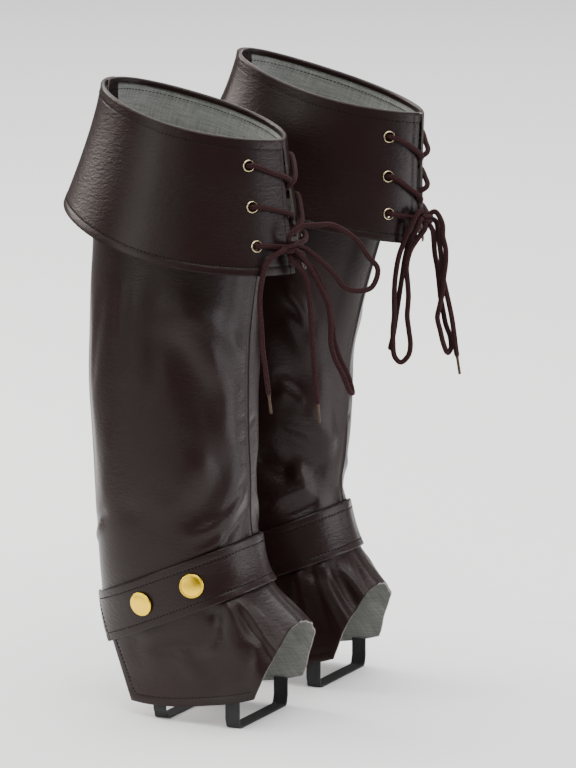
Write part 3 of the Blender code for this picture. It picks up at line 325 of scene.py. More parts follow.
leftCover = {
    "name": "left", "side": 1, "slit": (3.8, 5.5), "inset": 27.5, "hemBack": -16, "hemSag": -10,
    "stand": {"z": [0, 80, 112, 160, 190, 220, 260, 297, 350, 410, 460, 510],
              "lean": [0, 0, 9, 9.5, 13.5, 16.5, 19, 26, 35, 43, 49, 48],
              "lift": [0, 0, 0, 0, 0, 0, 0, 1, 2.6, 3.5, 5, 9.5]},
    "press": {"z": [0, 100, 150, 350, 457], "front": [0, 0, 0, 0, 2.2], "back": [0, 0, -2, -4, -5.6],
              "half": [0, -1, -5, -8, -13], "nose": [0, 0, -0.3, -0.35, -0.1]},
    "folds": [
        (-22, 172, -72, 196, 13, -3.0), (-16, 190, -60, 224, 14, 2.6), (-74, 330, -30, 268, 14, 2.8),
        (-88, 308, -40, 240, 15, -3.0), (-26, 98, -40, 36, 8, 2.6), (-40, 102, -56, 34, 8, -2.6),
        (-54, 98, -74, 32, 9, 2.4), (-146, 330, -148, 180, 15, -2.5), (60, 336, 24, 268, 14, 3.0),
        (80, 300, 36, 232, 15, -3.0), (26, 204, 66, 162, 14, -2.8), (148, 320, 146, 180, 16, -2.5),
        (40, 98, 56, 34, 9, 2.4), (60, 100, 76, 34, 9, -2.2)],
    "creases": [  # first the inner half, which is seen, then the outer one
        (-78, 328, -44, 298, 6.5, 2.4, -3), (-74, 310, -42, 278, 6, -2.1, -3),
        (-68, 240, -44, 228, 7, 2.0, -2), (-68, 254, -46, 241, 4.5, -1.4, -2),
        (-40, 300, -30, 226, 9, 0.9), (-66, 219, -38, 212, 2.2, -0.45, 1),
        (-62, 212, -36, 203, 1.8, 0.4), (-66, 206, -40, 198, 2.0, -0.4, -1),
        (-58, 199, -34, 190, 1.8, 0.35), (-84, 188, -50, 172, 9, -4.2, 5), (-54, 182, -34, 152, 6, 2.4),
        (-74, 146, -38, 160, 5, 3.2, -2), (-60, 138, -28, 148, 4, -1.8), (-18, 250, -12, 170, 8, -0.9),
        (-4, 300, -3, 200, 5, 0.6), (-118, 336, -132, 250, 8, -1.2), (-100, 340, -96, 270, 7, 1.1),
        (-62, 102, -86, 50, 4.2, 2.2, -2), (-52, 101, -79, 46, 4.0, -2.0, -2),
        (-42, 100, -71, 42, 4.4, 2.4, -2), (-31, 99, -62, 40, 4.4, -2.0, -2),
        (-21, 98, -52, 42, 4.8, 2.2, -2), (-10, 94, -38, 48, 4.6, -1.6), (-96, 84, -108, 40, 7, 1.0),
        (60, 326, 6, 282, 8, 1.9, 3), (70, 300, 36, 252, 8, -1.6), (22, 262, 16, 180, 12, 1.4),
        (1, 230, 13, 234, 2, -0.8), (1, 212, 12, 214, 2, -0.7), (10, 178, 56, 152, 5, 1.9),
        (4, 166, 42, 140, 4, -1.4), (96, 346, 92, 270, 7, 1.2), (84, 340, 86, 262, 6, -1.0),
        (128, 152, 166, 138, 4, 1.2), (36, 101, 76, 52, 4.4, 1.8, 2), (45, 101, 86, 46, 3.8, -1.5, 2),
        (60, 97, 94, 54, 5.4, 1.5, -2), (25, 99, 56, 68, 4, 1.4), (102, 82, 110, 36, 8, 1.0)],
}


# surfaces: arrays of (outward, forward, height) in mm
def unit(vectors):
    return vectors / np.linalg.norm(vectors, axis=-1, keepdims=True)


def ridge(gap, width):  # exp(-(gap / width)^2): 1 on its line, falling off softly to both sides
    return np.exp(-(gap / width) ** 2)


# a smooth cubic through one column of a table, read at the values of its z column
def readTable(table, column, at):
    x, y = np.array(table["z"], float), np.array(table[column], float)
    order = np.argsort(x)
    x, y = x[order], y[order]
    slope = np.gradient(y, x)
    at = np.clip(np.asarray(at, float), x[0], x[-1])
    i = np.clip(np.searchsorted(x, at) - 1, 0, len(x) - 2)
    step = x[i + 1] - x[i]
    s = (at - x[i]) / step
    start = (1 + 2 * s) * (1 - s) ** 2 * y[i] + s * (1 - s) ** 2 * step * slope[i]
    return start + s * s * (3 - 2 * s) * y[i + 1] + s * s * (s - 1) * step * slope[i + 1]


def smoothStep(value, low, high):
    s = np.clip((np.asarray(value, float) - low) / (high - low), 0.0, 1.0)
    return s * s * (3 - 2 * s)


# a ring with its own roundness in front and behind, tilted up to the back: outward = half * sin^p and
# forward = middle + reach * cos^p
def oval(turn, z, row):
    angle = np.radians(turn)
    c, s = np.cos(angle), np.sin(angle)
    power = 2.0 / (row["heel"] + (row["nose"] - row["heel"]) * (1 + c) / 2)
    lengthways = np.sign(c) * np.abs(c) ** power
    outward = row["half"] * np.sign(s) * np.abs(s) ** power
    forward = (row["front"] + row["back"]) / 2 + (row["front"] - row["back"]) / 2 * lengthways
    height = z + row["rise"] * (1 - lengthways) / 2 - row["sag"] * s * s
    return np.stack(np.broadcast_arrays(outward, forward, height), -1)


def stood(points, cover):  # leans and lifts points as the cover stands
    z = points[..., 2]
    lean, lift = (readTable(cover["stand"], name, z) for name in ("lean", "lift"))
    return points + np.stack([np.zeros_like(lean), lean, lift], -1)


def pressed(row, cover, level):
    for name in ("front", "back", "half", "nose"):
        row[name] = row[name] + readTable(cover["press"], name, level)
    return row


def legSurface(cover, turn, level):
    turn, level = np.broadcast_arrays(np.asarray(turn, float), np.asarray(level, float))
    row = {name: readTable(leg, name, level) for name in leg if name != "z"}
    return stood(oval(turn, level, pressed(row, cover, level)), cover)


# rim and hem mixed by depth; the reaches flare late, as depth to a power
def cuffSurface(cover, turn, depth):
    turn, depth = np.broadcast_arrays(np.asarray(turn, float), np.asarray(depth, float))
    flared = np.sign(depth) * np.abs(depth) ** cuff["flare"]
    row = {}
    for name in ("z", "rise", "front", "back", "half", "nose", "heel", "sag"):
        share = flared if name in ("front", "back", "half") else depth
        row[name] = cuff[name][0] + (cuff[name][1] - cuff[name][0]) * share
    row["back"] = row["back"] + cover["hemBack"] * depth
    row["sag"] = row["sag"] + cover["hemSag"] * depth
    return stood(oval(turn, row["z"], pressed(row, cover, row["z"])), cover)


def surfaceNormals(surface, cover, turn, level, step):
    around = surface(cover, turn + 0.5, level) - surface(cover, turn - 0.5, level)
    down = surface(cover, turn, level + step) - surface(cover, turn, level - step)
    normal = np.cross(around, down)
    through = surface(cover, turn, level) - surface(cover, turn + 180.0, level)
    facing = (through * normal).sum(-1, keepdims=True)
    return unit(normal) * np.sign(facing)


def aboveStrap(cover, points):
    lean = readTable(cover["stand"], "lean", points[..., 2])
    line = strap["height"] + strap["slope"] * (points[..., 1] - lean)
    return (points[..., 2] - line) / math.sqrt(1 + strap["slope"] ** 2)


# the sum of soft ridges along bowed lines, faded at both ends; the strap presses the large folds flat
# further out than the small creases
def foldLift(cover, turn, points):
    reach = np.hypot(points[..., 0], points[..., 1] - spread["axis"])
    fromStrap = np.abs(aboveStrap(cover, points))
    moved = np.zeros(turn.shape)
    for table, calm in ((cover["folds"], strap["calm"]), (cover["creases"], strap["calmCrease"])):
        total = np.zeros(turn.shape)
        for startTurn, startZ, endTurn, endZ, width, lift, *bow in table:
            gap = (turn - startTurn + 180.0) % 360.0 - 180.0
            x, z = np.radians(gap) * reach, points[..., 2] - startZ
            endX, endUp = np.radians(endTurn - startTurn) * spread["radius"], endZ - startZ
            length = math.hypot(endX, endUp)
            share = (x * endX + z * endUp) / length ** 2
            off = (x * endUp - z * endX) / length - (bow[0] if bow else 0.0) * 4 * share * (1 - share)
            ends = smoothStep(share, -0.15, 0.25) * (1 - smoothStep(share, 0.75, 1.15))
            total += lift * ridge(off, width) * ends
        moved += total * smoothStep(fromStrap, *calm)
    return moved


def turnAt(cover, forward, level):  # where a leg section reaches a forward place, on the outer side
    turns = np.linspace(0.5, 179.5, 720)
    ring = legSurface(cover, turns, np.full(turns.shape, level))
    lean = readTable(cover["stand"], "lean", level)
    return float(np.interp(-forward - lean, -ring[:, 1], turns))


# rows from the shaft's top to the flap's hem, each with its number, its front level and turn, its back level
# and turn, and its dip; on the flap each edge runs straight between the table's rows
def panelTable(cover):
    rows = [(k, z, 0.0, z, wall["lap"], 0.0) for k, z in enumerate(np.linspace(leg["z"][0], 140.0, 11))]
    table = list(zip(*(flap[key] for key in ("frontZ", "front", "backZ", "back", "dip"))))
    for number, (upper, lower) in enumerate(zip([table[0]] + table, table)):
        for share in np.linspace(0, 1, 9)[1:] if number else (1.0,):
            frontZ, backZ, dip = (upper[k] + (lower[k] - upper[k]) * share for k in (0, 2, 4))
            frontTurn, backTurn = 0.0, wall["lap"]
            if lower[1] is not None:
                start = legSurface(cover, 0.0, upper[0])[1] - readTable(cover["stand"], "lean", upper[0])
                start = upper[1] if upper[1] is not None else float(start)
                frontTurn = turnAt(cover, start + (lower[1] - start) * share, frontZ)
            if lower[3] is not None and upper[3] is not None:
                backTurn = turnAt(cover, upper[3] + (lower[3] - upper[3]) * share, backZ)
            elif lower[3] is not None:
                backTurn += (turnAt(cover, lower[3], lower[2]) - backTurn) * share
            rows.append((10 + number + share, frontZ, frontTurn, backZ, backTurn, dip))
    return np.array(rows).T


def panelPlace(cover, share, rowAt):
    number, *columns = cover["panel"]
    frontZ, frontTurn, backZ, backTurn, dip = (np.interp(rowAt, number, column) for column in columns)
    level = frontZ + (backZ - frontZ) * share
    return frontTurn + (backTurn - frontTurn) * share, level - dip * 4 * share * (1 - share)


def clothPoints(cover, hand, turn, level, offset):  # hand 1 is the outer half and -1 the inner one
    turn, level = np.broadcast_arrays(turn, level)
    base = legSurface(cover, hand * turn, level)
    normal = surfaceNormals(legSurface, cover, hand * turn, level, 1.0)
    onSeam = turn < 1e-6
    flat = normal * np.array([0.0, 1.0, 1.0])
    normal = np.where(onSeam[..., None], unit(flat), normal)
    move = foldLift(cover, hand * turn, base) + offset
    if hand < 0:
        move = move - wall["lapDrop"] * smoothStep(turn, *wall["lapEase"])
    points = base + normal * move[..., None]
    points[..., 0] = np.where(onSeam, hand * wall["gap"] / 2, points[..., 0])
    return points


def panelPoints(cover, hand, share, rowAt, offset):
    share, rowAt = np.broadcast_arrays(np.asarray(share, float), np.asarray(rowAt, float))
    return clothPoints(cover, hand, *panelPlace(cover, share, rowAt), offset)


def slitTurn(cover, depth):
    turns = np.linspace(0.0, 30.0, 400)
    ring = cuffSurface(cover, turns, np.full(turns.shape, depth))
    half = cover["slit"][0] + (cover["slit"][1] - cover["slit"][0]) * depth
    return float(np.interp(half, ring[:, 0], turns))


def cuffPoints(cover, hand, share, depth, offset):
    share, depth = np.broadcast_arrays(np.asarray(share, float), np.asarray(depth, float))
    edge = np.interp(depth, cover["slitDepths"], cover["slitTurns"])
    turn = edge + (wall["lap"] - edge) * share
    base = cuffSurface(cover, hand * turn, depth)
    normal = surfaceNormals(cuffSurface, cover, hand * turn, depth, -0.01)
    if hand < 0:
        offset = offset - wall["cuffDrop"] * smoothStep(turn, *wall["lapEase"])
    return base + normal * np.asarray(offset, float)[..., None] * np.ones(base.shape), normal


def toWorld(points, cover):
    points = np.asarray(points, float)
    sideways = cover["side"] * (pair["middle"] + points[..., 0])
    return np.stack([sideways, -points[..., 1], points[..., 2]], -1) * mm


def runLength(grid, axis):  # how far each point of a grid lies from its first one along an axis
    step = np.linalg.norm(np.diff(grid, axis=axis), axis=-1)
    zero = np.zeros_like(np.take(step, [0], axis=axis))
    return np.concatenate([zero, np.cumsum(step, axis=axis)], axis=axis)


for cover in (rightCover, leftCover):
    cover["panel"] = panelTable(cover)
    cover["slitDepths"] = np.linspace(-0.05, 1.05, 23)
    cover["slitTurns"] = [slitTurn(cover, d) for d in cover["slitDepths"]]
print("surfaces ready")


# meshes
# points, quads as rows of indices, a uv per point and a material index per face; turned so that it encloses a
# positive volume
def newMesh(name, points, quads, uv, looks, lookIndex=None):
    a, b, c, d = (points[quads[:, k]] for k in range(4))
    middle = points.mean(0)
    volume = (np.cross(b - a, c - a) * (a - middle)).sum() + (np.cross(c - a, d - a) * (a - middle)).sum()
    if volume < 0:
        quads = quads[:, ::-1]
    faces = [tuple(dict.fromkeys(q)) for q in quads.tolist()]
    mesh = bpy.data.meshes.new(name)
    mesh.from_pydata(points.tolist(), [], faces)
    for look in looks:
        mesh.materials.append(look)
    if lookIndex is not None:
        mesh.polygons.foreach_set("material_index", np.asarray(lookIndex, np.int32))
    corner = np.empty(len(mesh.loops), np.int32)
    mesh.loops.foreach_get("vertex_index", corner)
    layer = mesh.uv_layers.new(name="cut")
    layer.data.foreach_set("uv", uv[corner].astype(np.float32).ravel())
    mesh.shade_smooth()
    mesh.update()
    made = bpy.data.objects.new(name, mesh)
    bpy.context.scene.collection.objects.link(made)
    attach(made, "root")
    return made


def gridQuads(rows, columns, wrap=False):
    index = np.arange(rows * columns).reshape(rows, columns)
    if wrap:
        index = np.concatenate([index, index[:, :1]], 1)
    corners = (index[:-1, :-1], index[:-1, 1:], index[1:, 1:], index[1:, :-1])
    return np.stack([k.ravel() for k in corners], -1)


# a wall between two grids: the outer face, the inner face turned round, and along the whole border a strip of
# three bands, light at both faces and dark between; bound marks the inner faces that are hide
def gridShell(name, outer, inner, looks, bound=None):
    rows, columns = outer.shape[:2]
    count = rows * columns
    border = np.arange(count).reshape(rows, columns)
    border = np.concatenate([border[0], border[1:, -1], border[-1, -2::-1], border[-2:0:-1, 0]])
    face = gridQuads(rows, columns)
    points = np.concatenate([outer.reshape(-1, 3), inner.reshape(-1, 3)])
    uv = np.stack([runLength(outer, 1), runLength(outer, 0)], -1).reshape(-1, 2)
    bands = [points[border] * (1 - share) + points[border + count] * share for share in (0.36, 0.64)]
    between = 2 * count + np.arange(2 * len(border)).reshape(2, -1)
    lines = [border, between[0], between[1], border + count]
    strips = [np.stack([a, b, np.roll(b, -1), np.roll(a, -1)], -1) for a, b in zip(lines, lines[1:])]
    quads = np.concatenate([face, face[:, ::-1] + count] + strips)
    under = np.ones(len(face), int) if bound is None else np.where(bound.ravel(), 0, 1)
    index = np.concatenate([np.zeros(len(face), int), under, np.repeat([2, 0, 2], len(border))])
    points = np.concatenate([points] + bands)
    made = newMesh(name, points, quads, np.concatenate([uv, uv, uv[border], uv[border]]), looks, index)
    made.data.set_sharp_from_angle(angle=math.radians(50))
    return made


def readAlong(run, values, at):  # rows of three values along a path, read at other lengths along it
    return np.stack([np.interp(at, run, values[:, k]) for k in range(3)], -1)


# a curve through a route's points (Catmull-Rom, spaced by the square root of each gap), then even steps
def smoothRoute(route, step=1.6):
    p = np.array(route, float)
    p = np.concatenate([[2 * p[0] - p[1]], p, [2 * p[-1] - p[-2]]])
    knots = np.concatenate([[0], np.cumsum(np.sqrt(np.linalg.norm(np.diff(p, axis=0), axis=1)))])
    fine = []
    for i in range(1, len(p) - 2):
        t = np.linspace(knots[i], knots[i + 1], 24, endpoint=False)[:, None]
        t0, t1, t2, t3 = knots[i - 1:i + 3]
        a1 = (t1 - t) / (t1 - t0) * p[i - 1] + (t - t0) / (t1 - t0) * p[i]
        a2 = (t2 - t) / (t2 - t1) * p[i] + (t - t1) / (t2 - t1) * p[i + 1]
        a3 = (t3 - t) / (t3 - t2) * p[i + 1] + (t - t2) / (t3 - t2) * p[i + 2]
        b1 = (t2 - t) / (t2 - t0) * a1 + (t - t0) / (t2 - t0) * a2
        b2 = (t3 - t) / (t3 - t1) * a2 + (t - t1) / (t3 - t1) * a3
        fine.append((t2 - t) / (t2 - t1) * b1 + (t - t1) / (t2 - t1) * b2)
    fine = np.concatenate(fine + [p[-2:-1]])
    run = runLength(fine, 0)
    return readAlong(run, fine, np.linspace(0, run[-1], max(4, int(run[-1] / step))))


# directions across a path that turn with it as little as they can
def pathFrames(path):
    along = unit(np.gradient(path, axis=0))
    sides = [unit(np.cross(along[0], [0.31, 0.22, 0.93]))]
    for heading in along[1:]:
        sides.append(unit(sides[-1] - heading * (sides[-1] @ heading)))
    sides = np.array(sides)
    return along, sides, np.cross(along, sides)


# a round tube along a path, with domed ends
def tubeMesh(name, path, radius, look, sides):
    along, right, up = pathFrames(path)
    dome = np.array([(0.98, 0.15), (0.75, 0.62), (0.35, 0.93)])  # how far out and how wide
    front = path[0] - along[0] * radius * dome[:, :1]
    back = path[-1] + along[-1] * radius * dome[::-1, :1]
    centres = np.concatenate([front, path, back])
    wide = radius * np.concatenate([dome[:, 1], np.ones(len(path)), dome[::-1, 1]])
    right, up = (np.pad(way, ((3, 3), (0, 0)), "edge") for way in (right, up))
    angle = np.linspace(0, 2 * math.pi, sides + 1)
    ring = np.cos(angle)[None, :, None] * right[:, None] + np.sin(angle)[None, :, None] * up[:, None]
    grid = centres[:, None] + ring * wide[:, None, None]
    uv = np.stack(np.broadcast_arrays(angle / (2 * math.pi), runLength(centres, 0)[:, None]), -1)
    rows, columns = grid.shape[:2]
    quads = gridQuads(rows, columns)
    ends = [np.stack([np.full(sides, rows * columns + k), np.full(sides, rows * columns + k),
                      row * columns + np.arange(sides), row * columns + np.arange(sides) + 1], -1)
            for k, row in enumerate((0, rows - 1))]
    ends[1] = ends[1][:, ::-1]
    tips = np.stack([grid[0, :-1].mean(0), grid[-1, :-1].mean(0)])
    points = np.concatenate([grid.reshape(-1, 3), tips])
    uv = np.concatenate([uv.reshape(-1, 2), [uv[0, 0], uv[-1, 0]]])
    made = newMesh(name, points, np.concatenate([quads] + ends), uv, [look])
    weldSeam(made)
    return made


def weldSeam(made):  # joins points that lie on each other; the uv keeps its own corners
    work = bmesh.new()
    work.from_mesh(made.data)
    bmesh.ops.remove_doubles(work, verts=work.verts, dist=2e-6)
    bmesh.ops.recalc_face_normals(work, faces=work.faces)
    work.to_mesh(made.data)
    work.free()
    made.data.shade_smooth()


# a profile of (radius, height) in mm turned about an axis; it ends on the axis or closes on itself
def turned(name, profile, place, axis, look, sides):
    profile = np.array(profile, float) * mm
    if profile[:, 0].min() > 1e-6:
        profile = np.concatenate([profile, profile[:1]])
    axis = unit(axis)
    right = unit(np.cross(axis, [0.2, 0.3, 0.93]))
    angle = np.linspace(0, 2 * math.pi, sides + 1)
    ring = np.cos(angle)[None, :, None] * right + np.sin(angle)[None, :, None] * np.cross(axis, right)
    grid = place + ring * profile[:, 0, None, None] + axis * profile[:, 1, None, None]
    uv = np.stack([runLength(grid, 1), runLength(grid, 0)], -1).reshape(-1, 2)
    made = newMesh(name, grid.reshape(-1, 3), gridQuads(len(profile), sides + 1), uv, [look])
    weldSeam(made)
    made.data.set_sharp_from_angle(angle=math.radians(50))
    return made


stitchLook = {"pitch": 3.1, "length": 2.4, "radius": 0.35}


# short stitches along a path: each one is a small tapered bar that dips into the cloth at both ends
def stitches(path, out, cover):
    path, out = toWorld(path, cover) / mm, toWorld(path + out, cover) / mm - toWorld(path, cover) / mm
    run = runLength(path, 0)
    count = max(2, int(run[-1] / stitchLook["pitch"]))
    at = (np.arange(count) + 0.5) * run[-1] / count
    centre, normal = readAlong(run, path, at), unit(readAlong(run, out, at))
    along = unit(readAlong(run, path, at + 0.4) - readAlong(run, path, at - 0.4))
    across = np.cross(along, normal)
    bar = np.array([  # along, thickness, height
        (-0.5, 0.35, -0.30), (-0.3, 0.95, 0.05), (0.0, 1.0, 0.16), (0.3, 0.95, 0.05), (0.5, 0.35, -0.30)])
    angle = np.arange(6) * math.pi / 3
    wide = bar[:, 1:2] * stitchLook["radius"]
    x = bar[:, :1] * stitchLook["length"] + angle * 0
    y = wide * np.cos(angle)
    z = wide * np.sin(angle) + bar[:, 2:3]
    points = centre[:, None, None]
    for way, amount in ((along, x), (across, y), (normal, z)):
        points = points + way[:, None, None] * amount[..., None]
    one = gridQuads(5, 6, wrap=True)
    caps = np.array([(0, 1, 2, 3), (0, 3, 4, 5), (27, 26, 25, 24), (29, 28, 27, 24)])
    one = np.concatenate([one, caps])
    quads = (one[None] + 30 * np.arange(count)[:, None, None]).reshape(-1, 4)
    return points.reshape(-1, 3) * mm, quads


def threadPiece(name, rows):
    points, quads, total = [], [], 0
    for rowPoints, rowQuads in rows:
        points.append(rowPoints)
        quads.append(rowQuads + total)
        total += len(rowPoints)
    return newMesh(name, np.concatenate(points), np.concatenate(quads), np.zeros((total, 2)), [thread])


# laces: the crossed lace, then each loop and tail of the bow
lace = {
    "radius": 2.1, "sides": 14, "rise": 2.9, "sink": 2.3, "edge": 3.5, "shift": 2.5,
    "holeArc": (4.2, 3.8, 3.3, 3.0),
    "ways": (0.12, 0.34, 0.56, 0.80), "wrap": 1.95, "inside": 1.6, "leave": (2.5, 10.6),
    "enter": (2.0, 8.5),
    "stops": [(1, 3, True), (-1, 2, True), (1, 1, True), (-1, 1, False), (1, 2, False), (-1, 3, False)],
    "ends": ((1.0, -0.35, 0.1), (-1.0, -0.35, 0.1)),
}
rightCover["knot"] = {"hand": 1, "place": (19.1, 97.3, 377.7), "facing": 22}
leftCover["knot"] = {"hand": -1, "place": (-7.0, 139.5, 380.0), "facing": -17}
rightCover["strands"] = [  # name, way out of the knot, way back in, has a tip, route in mm
    ("loop_side", (0.2, 0.4, 0.9), (-0.75, 0.65, -0.05), False, [
        (16, 108, 394), (12, 118, 395), (6, 128, 395), (1, 137, 390), (-5, 146, 381),
        (-9, 152, 370), (-13, 158, 361), (-13, 157, 352), (-11, 153, 345), (-6, 144, 343),
        (-1, 136, 346), (3, 129, 356), (8, 121, 366), (12, 114, 373)]),
    ("loop_long", (-0.2, 0.93, -0.3), (-0.6, 0.35, -0.7), False, [
        (14, 113, 363), (10, 119, 349), (6, 125, 333), (5, 127, 315), (5, 127, 304),
        (4, 130, 291), (1, 136, 277), (-2, 140, 265), (-7, 140, 263), (-8, 136, 275),
        (-5, 130, 290), (-2, 127, 303), (-1, 126, 315), (1, 124, 332), (5, 119, 348),
        (9, 113, 362)]),
    ("tail_side", (0.9, 0.45, -0.1), None, True, [
        (36, 91, 371), (40, 88, 364), (43, 86, 352), (44, 85, 336), (43, 86, 318),
        (43, 87, 302), (42, 89, 285), (41, 91, 267)]),
    ("tail_front", (0.1, 0.45, -0.85), None, True, [
        (18, 109, 360), (16, 112, 350), (15, 114, 333), (14, 115, 316), (14, 116, 300),
        (13, 117, 282), (12, 119, 257)]),
]
leftCover["strands"] = [
    ("loop_side", (-0.68, 0.3, 0.68), (-0.5, 0.62, -0.6), False, [
        (-21, 138, 381), (-23, 134, 372), (-24, 130, 362), (-26, 127, 352), (-26, 124, 336),
        (-26, 123, 322), (-26, 123, 303), (-26, 122, 293), (-26, 122, 283), (-25, 123, 271),
        (-22, 127, 266), (-19, 132, 271), (-19, 134, 280), (-20, 133, 292), (-21, 132, 303),
        (-21, 133, 319), (-23, 133, 332), (-25, 133, 343), (-22, 135, 356), (-17, 139, 365)]),
    ("loop_long", (0.75, 0.45, 0.45), (0.25, 0.62, -0.75), False, [
        (-3, 154, 376), (-4, 155, 366), (-3, 157, 356), (-3, 157, 344), (-4, 156, 334),
        (-4, 155, 322), (-5, 153, 311), (-5, 151, 301), (-4, 153, 291), (-2, 155, 280),
        (2, 157, 272), (6, 158, 275), (7, 157, 284), (5, 154, 294), (4, 152, 305),
        (3, 150, 317), (3, 149, 326), (3, 147, 341), (3, 145, 351), (1, 145, 361)]),
    ("tail_side", (-0.9, 0.45, 0.0), None, False, [
        (-18, 138, 372), (-18, 133, 364), (-18, 129, 351), (-18, 126, 333), (-19, 124, 318),
        (-20, 122, 302), (-21, 120, 287), (-22, 118, 277)]),
    ("tail_front", (0.87, 0.45, -0.25), None, True, [
        (-1, 150, 364), (-1, 152, 351), (0, 153, 336), (1, 156, 321), (2, 158, 311),
        (3, 160, 300), (3, 162, 288), (4, 163, 277), (4, 164, 271)]),
]


def knotSpots(knot, spots):  # points given across, out of and up the cuff from the middle of the knot
    facing = math.radians(knot["facing"])
    across = np.array([math.cos(facing), -math.sin(facing), 0.0])
    out = np.array([math.sin(facing), math.cos(facing), 0.0])
    spots = np.atleast_2d(np.asarray(spots, float))
    return np.array(knot["place"]) + spots @ np.stack([across, out, (0.0, 0.0, 1.0)])


def wayOut(knot, way, *reaches):
    return list(knotSpots(knot, [unit(way) * reach for reach in reaches]))


def eyeletShare(cover, depth):
    shares = np.linspace(0, 0.4, 160)
    ring, _ = cuffPoints(cover, 1, shares, np.full(shares.shape, depth), 0.0)
    return float(np.interp(cover["inset"], runLength(ring, 0), shares))


def eyeletPlace(cover, hand, number):
    depth = cuff["eyelets"][number - 1]
    return cuffPoints(cover, hand, eyeletShare(cover, depth), depth, 0.0)


def laceSpot(cover, hand, share, depth, outside):
    rise = lace["edge"] if share == 0 else lace["rise"] if outside else lace["sink"]
    return cuffPoints(cover, hand, share, depth, rise if outside else -rise - lace["inside"])[0]


# an arc through the hole: out over the eyelet's rim, down its middle and back inside
def holeBend(cover, hand, number):
    place, normal = eyeletPlace(cover, hand, number)
    edge, _ = cuffPoints(cover, hand, 0.0, cuff["eyelets"][number - 1], 0.0)
    toSlit = edge - place
    toSlit = unit(toSlit - normal * (toSlit @ normal))
    over, under, reach, middle = lace["holeArc"]
    angles = np.radians([90, 50, 0, -50, -90])
    heights = [(over if a > 0 else under) * math.sin(a) - lace["inside"] / 2 for a in angles]
    aside = [middle - reach * math.cos(a) for a in angles]
    return [place + toSlit * share + normal * height for share, height in zip(aside, heights)]


def crossedRoute(cover):
    stops = lace["stops"]
    route = []
    for stop, after in zip(stops, stops[1:] + [None]):
        hand, number, inward = stop
        bend = holeBend(cover, hand, number)
        route += bend if inward else bend[::-1]
        if after is None:
            continue
        depth = np.array([cuff["eyelets"][s[1] - 1] for s in (stop, after)])
        up = -1 if (after if inward else stop)[0] > 0 else 1
        shift = up * lace["shift"] / (cuff["z"][0] - cuff["z"][1]) * (number != after[1])
        leading = ((hand, 0.5, not inward), (hand, 0.0, not inward),
                   (after[0], 0.0, after[2]), (after[0], 0.5, after[2]))
        for (side, share, outside), way in zip(leading, lace["ways"]):
            at = depth[0] + (depth[1] - depth[0]) * way
            spotShare = eyeletShare(cover, at) * share
            at = at + shift * (1.0 if share == 0 else 0.4)
            route.append(laceSpot(cover, side, spotShare, at, outside))
    for stop, way in ((stops[0], lace["ends"][0]), (stops[-1], lace["ends"][1])):
        ends = wayOut(cover["knot"], way, *lace["enter"])
        if stop[0] != cover["knot"]["hand"]:
            at = cuff["eyelets"][stop[1] - 1]
            ends.append(laceSpot(cover, stop[0], 0.0, at, True))
            ends.append(laceSpot(cover, stop[0], eyeletShare(cover, at) / 2, at, True))
        route = ends + route if stop is stops[0] else route + ends[::-1]
    return route


knotWraps = {  # the wound cord of each knot, by points across, out and up, mm
    "right": [
        (-1, -3, 2), (-5.2, -0.5, 2.2), (-4.6, 4.2, 1.9), (0, 6.0, 1.5), (4.8, 4.4, 1.0), (6.0, 0, 0.4),
        (2, -3.6, -0.4), (-4, -3, -0.9), (-5.8, 0.8, -1.2), (-3.6, 5.0, -1.7), (1.2, 6.2, -2.1),
        (5.2, 3.4, -2.6), (5.0, -1.0, -2.2), (1.0, -3.0, -1.8)],
    "left": [
        (-1, -3, 2), (-4.6, -0.5, 2.4), (-4.2, 3.8, 2.2), (0, 5.4, 1.8), (4.4, 4.0, 1.2), (5.4, 0, 0.6),
        (2, -3.4, -0.2), (-3.6, -3, -0.7), (-5.2, 0.8, -1.0), (-3.2, 4.6, -1.5), (1.2, 5.6, -2.0),
        (4.6, 3.0, -2.6), (4.6, -1.0, -2.2), (1.0, -2.8, -1.8)],
}
tip = {"radius": 1.2, "length": 14.5}
for cover in (rightCover, leftCover):
    name, knot = cover["name"], cover["knot"]
    knotMiddle = toWorld(knot["place"], cover)
    path = toWorld(smoothRoute(crossedRoute(cover)), cover)
    crossed = tubeMesh(f"{name}_laceCrossed", path, lace["radius"] * mm, laceBraid, lace["sides"])
    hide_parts(f"{name}_lace_crossed")
    path = toWorld(smoothRoute(knotSpots(knot, knotWraps[name]), 0.8), cover)
    wound = tubeMesh(f"{name}_laceKnot", path, lace["wrap"] * mm, laceBraid, lace["sides"])
    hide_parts(f"{name}_lace_knot")
    for strand, leaves, returns, hasTip, points in cover["strands"]:
        route = wayOut(knot, leaves, *lace["leave"]) + list(points)
        if returns:
            route += wayOut(knot, returns, *lace["leave"][::-1])
        path = toWorld(smoothRoute(route), cover)
        made = tubeMesh(f"{name}_{strand}_lace", path, lace["radius"] * mm, laceBraid, lace["sides"])
        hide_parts(f"{name}_lace_{strand}")
        if hasTip:
            way = unit(path[-1] - path[-2])
            r, l = tip["radius"], tip["length"]
            profile = [(0, -1.5), (r * 0.9, -1.5), (r * 1.25, -0.6), (r * 1.2, 0.8), (r, 1.2),
                       (r * 0.98, l - 0.6), (r * 0.8, l), (0, l)]
            end = turned(f"{name}_lace_tip_{strand}", profile, path[-1] + way * 1.5 * mm, way, tipMetal, 16)
            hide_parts(f"{name}_lace_tip_{strand[5:]}")
print("laces made")


# cloth
# how the cloth swells inside a turned hem and sinks along its stitch line, by the distance from the edge
def hemShape(distance, stitch, puff=0.16, groove=0.22, edge=0.35):
    swell = puff * smoothStep(distance, 0.3, 1.8) * (1 - smoothStep(distance, stitch - 2.2, stitch - 0.2))
    sink = groove * ridge(distance - stitch, grooveWidth)
    return swell - sink - edge * (1 - smoothStep(distance, 0.0, 0.9))


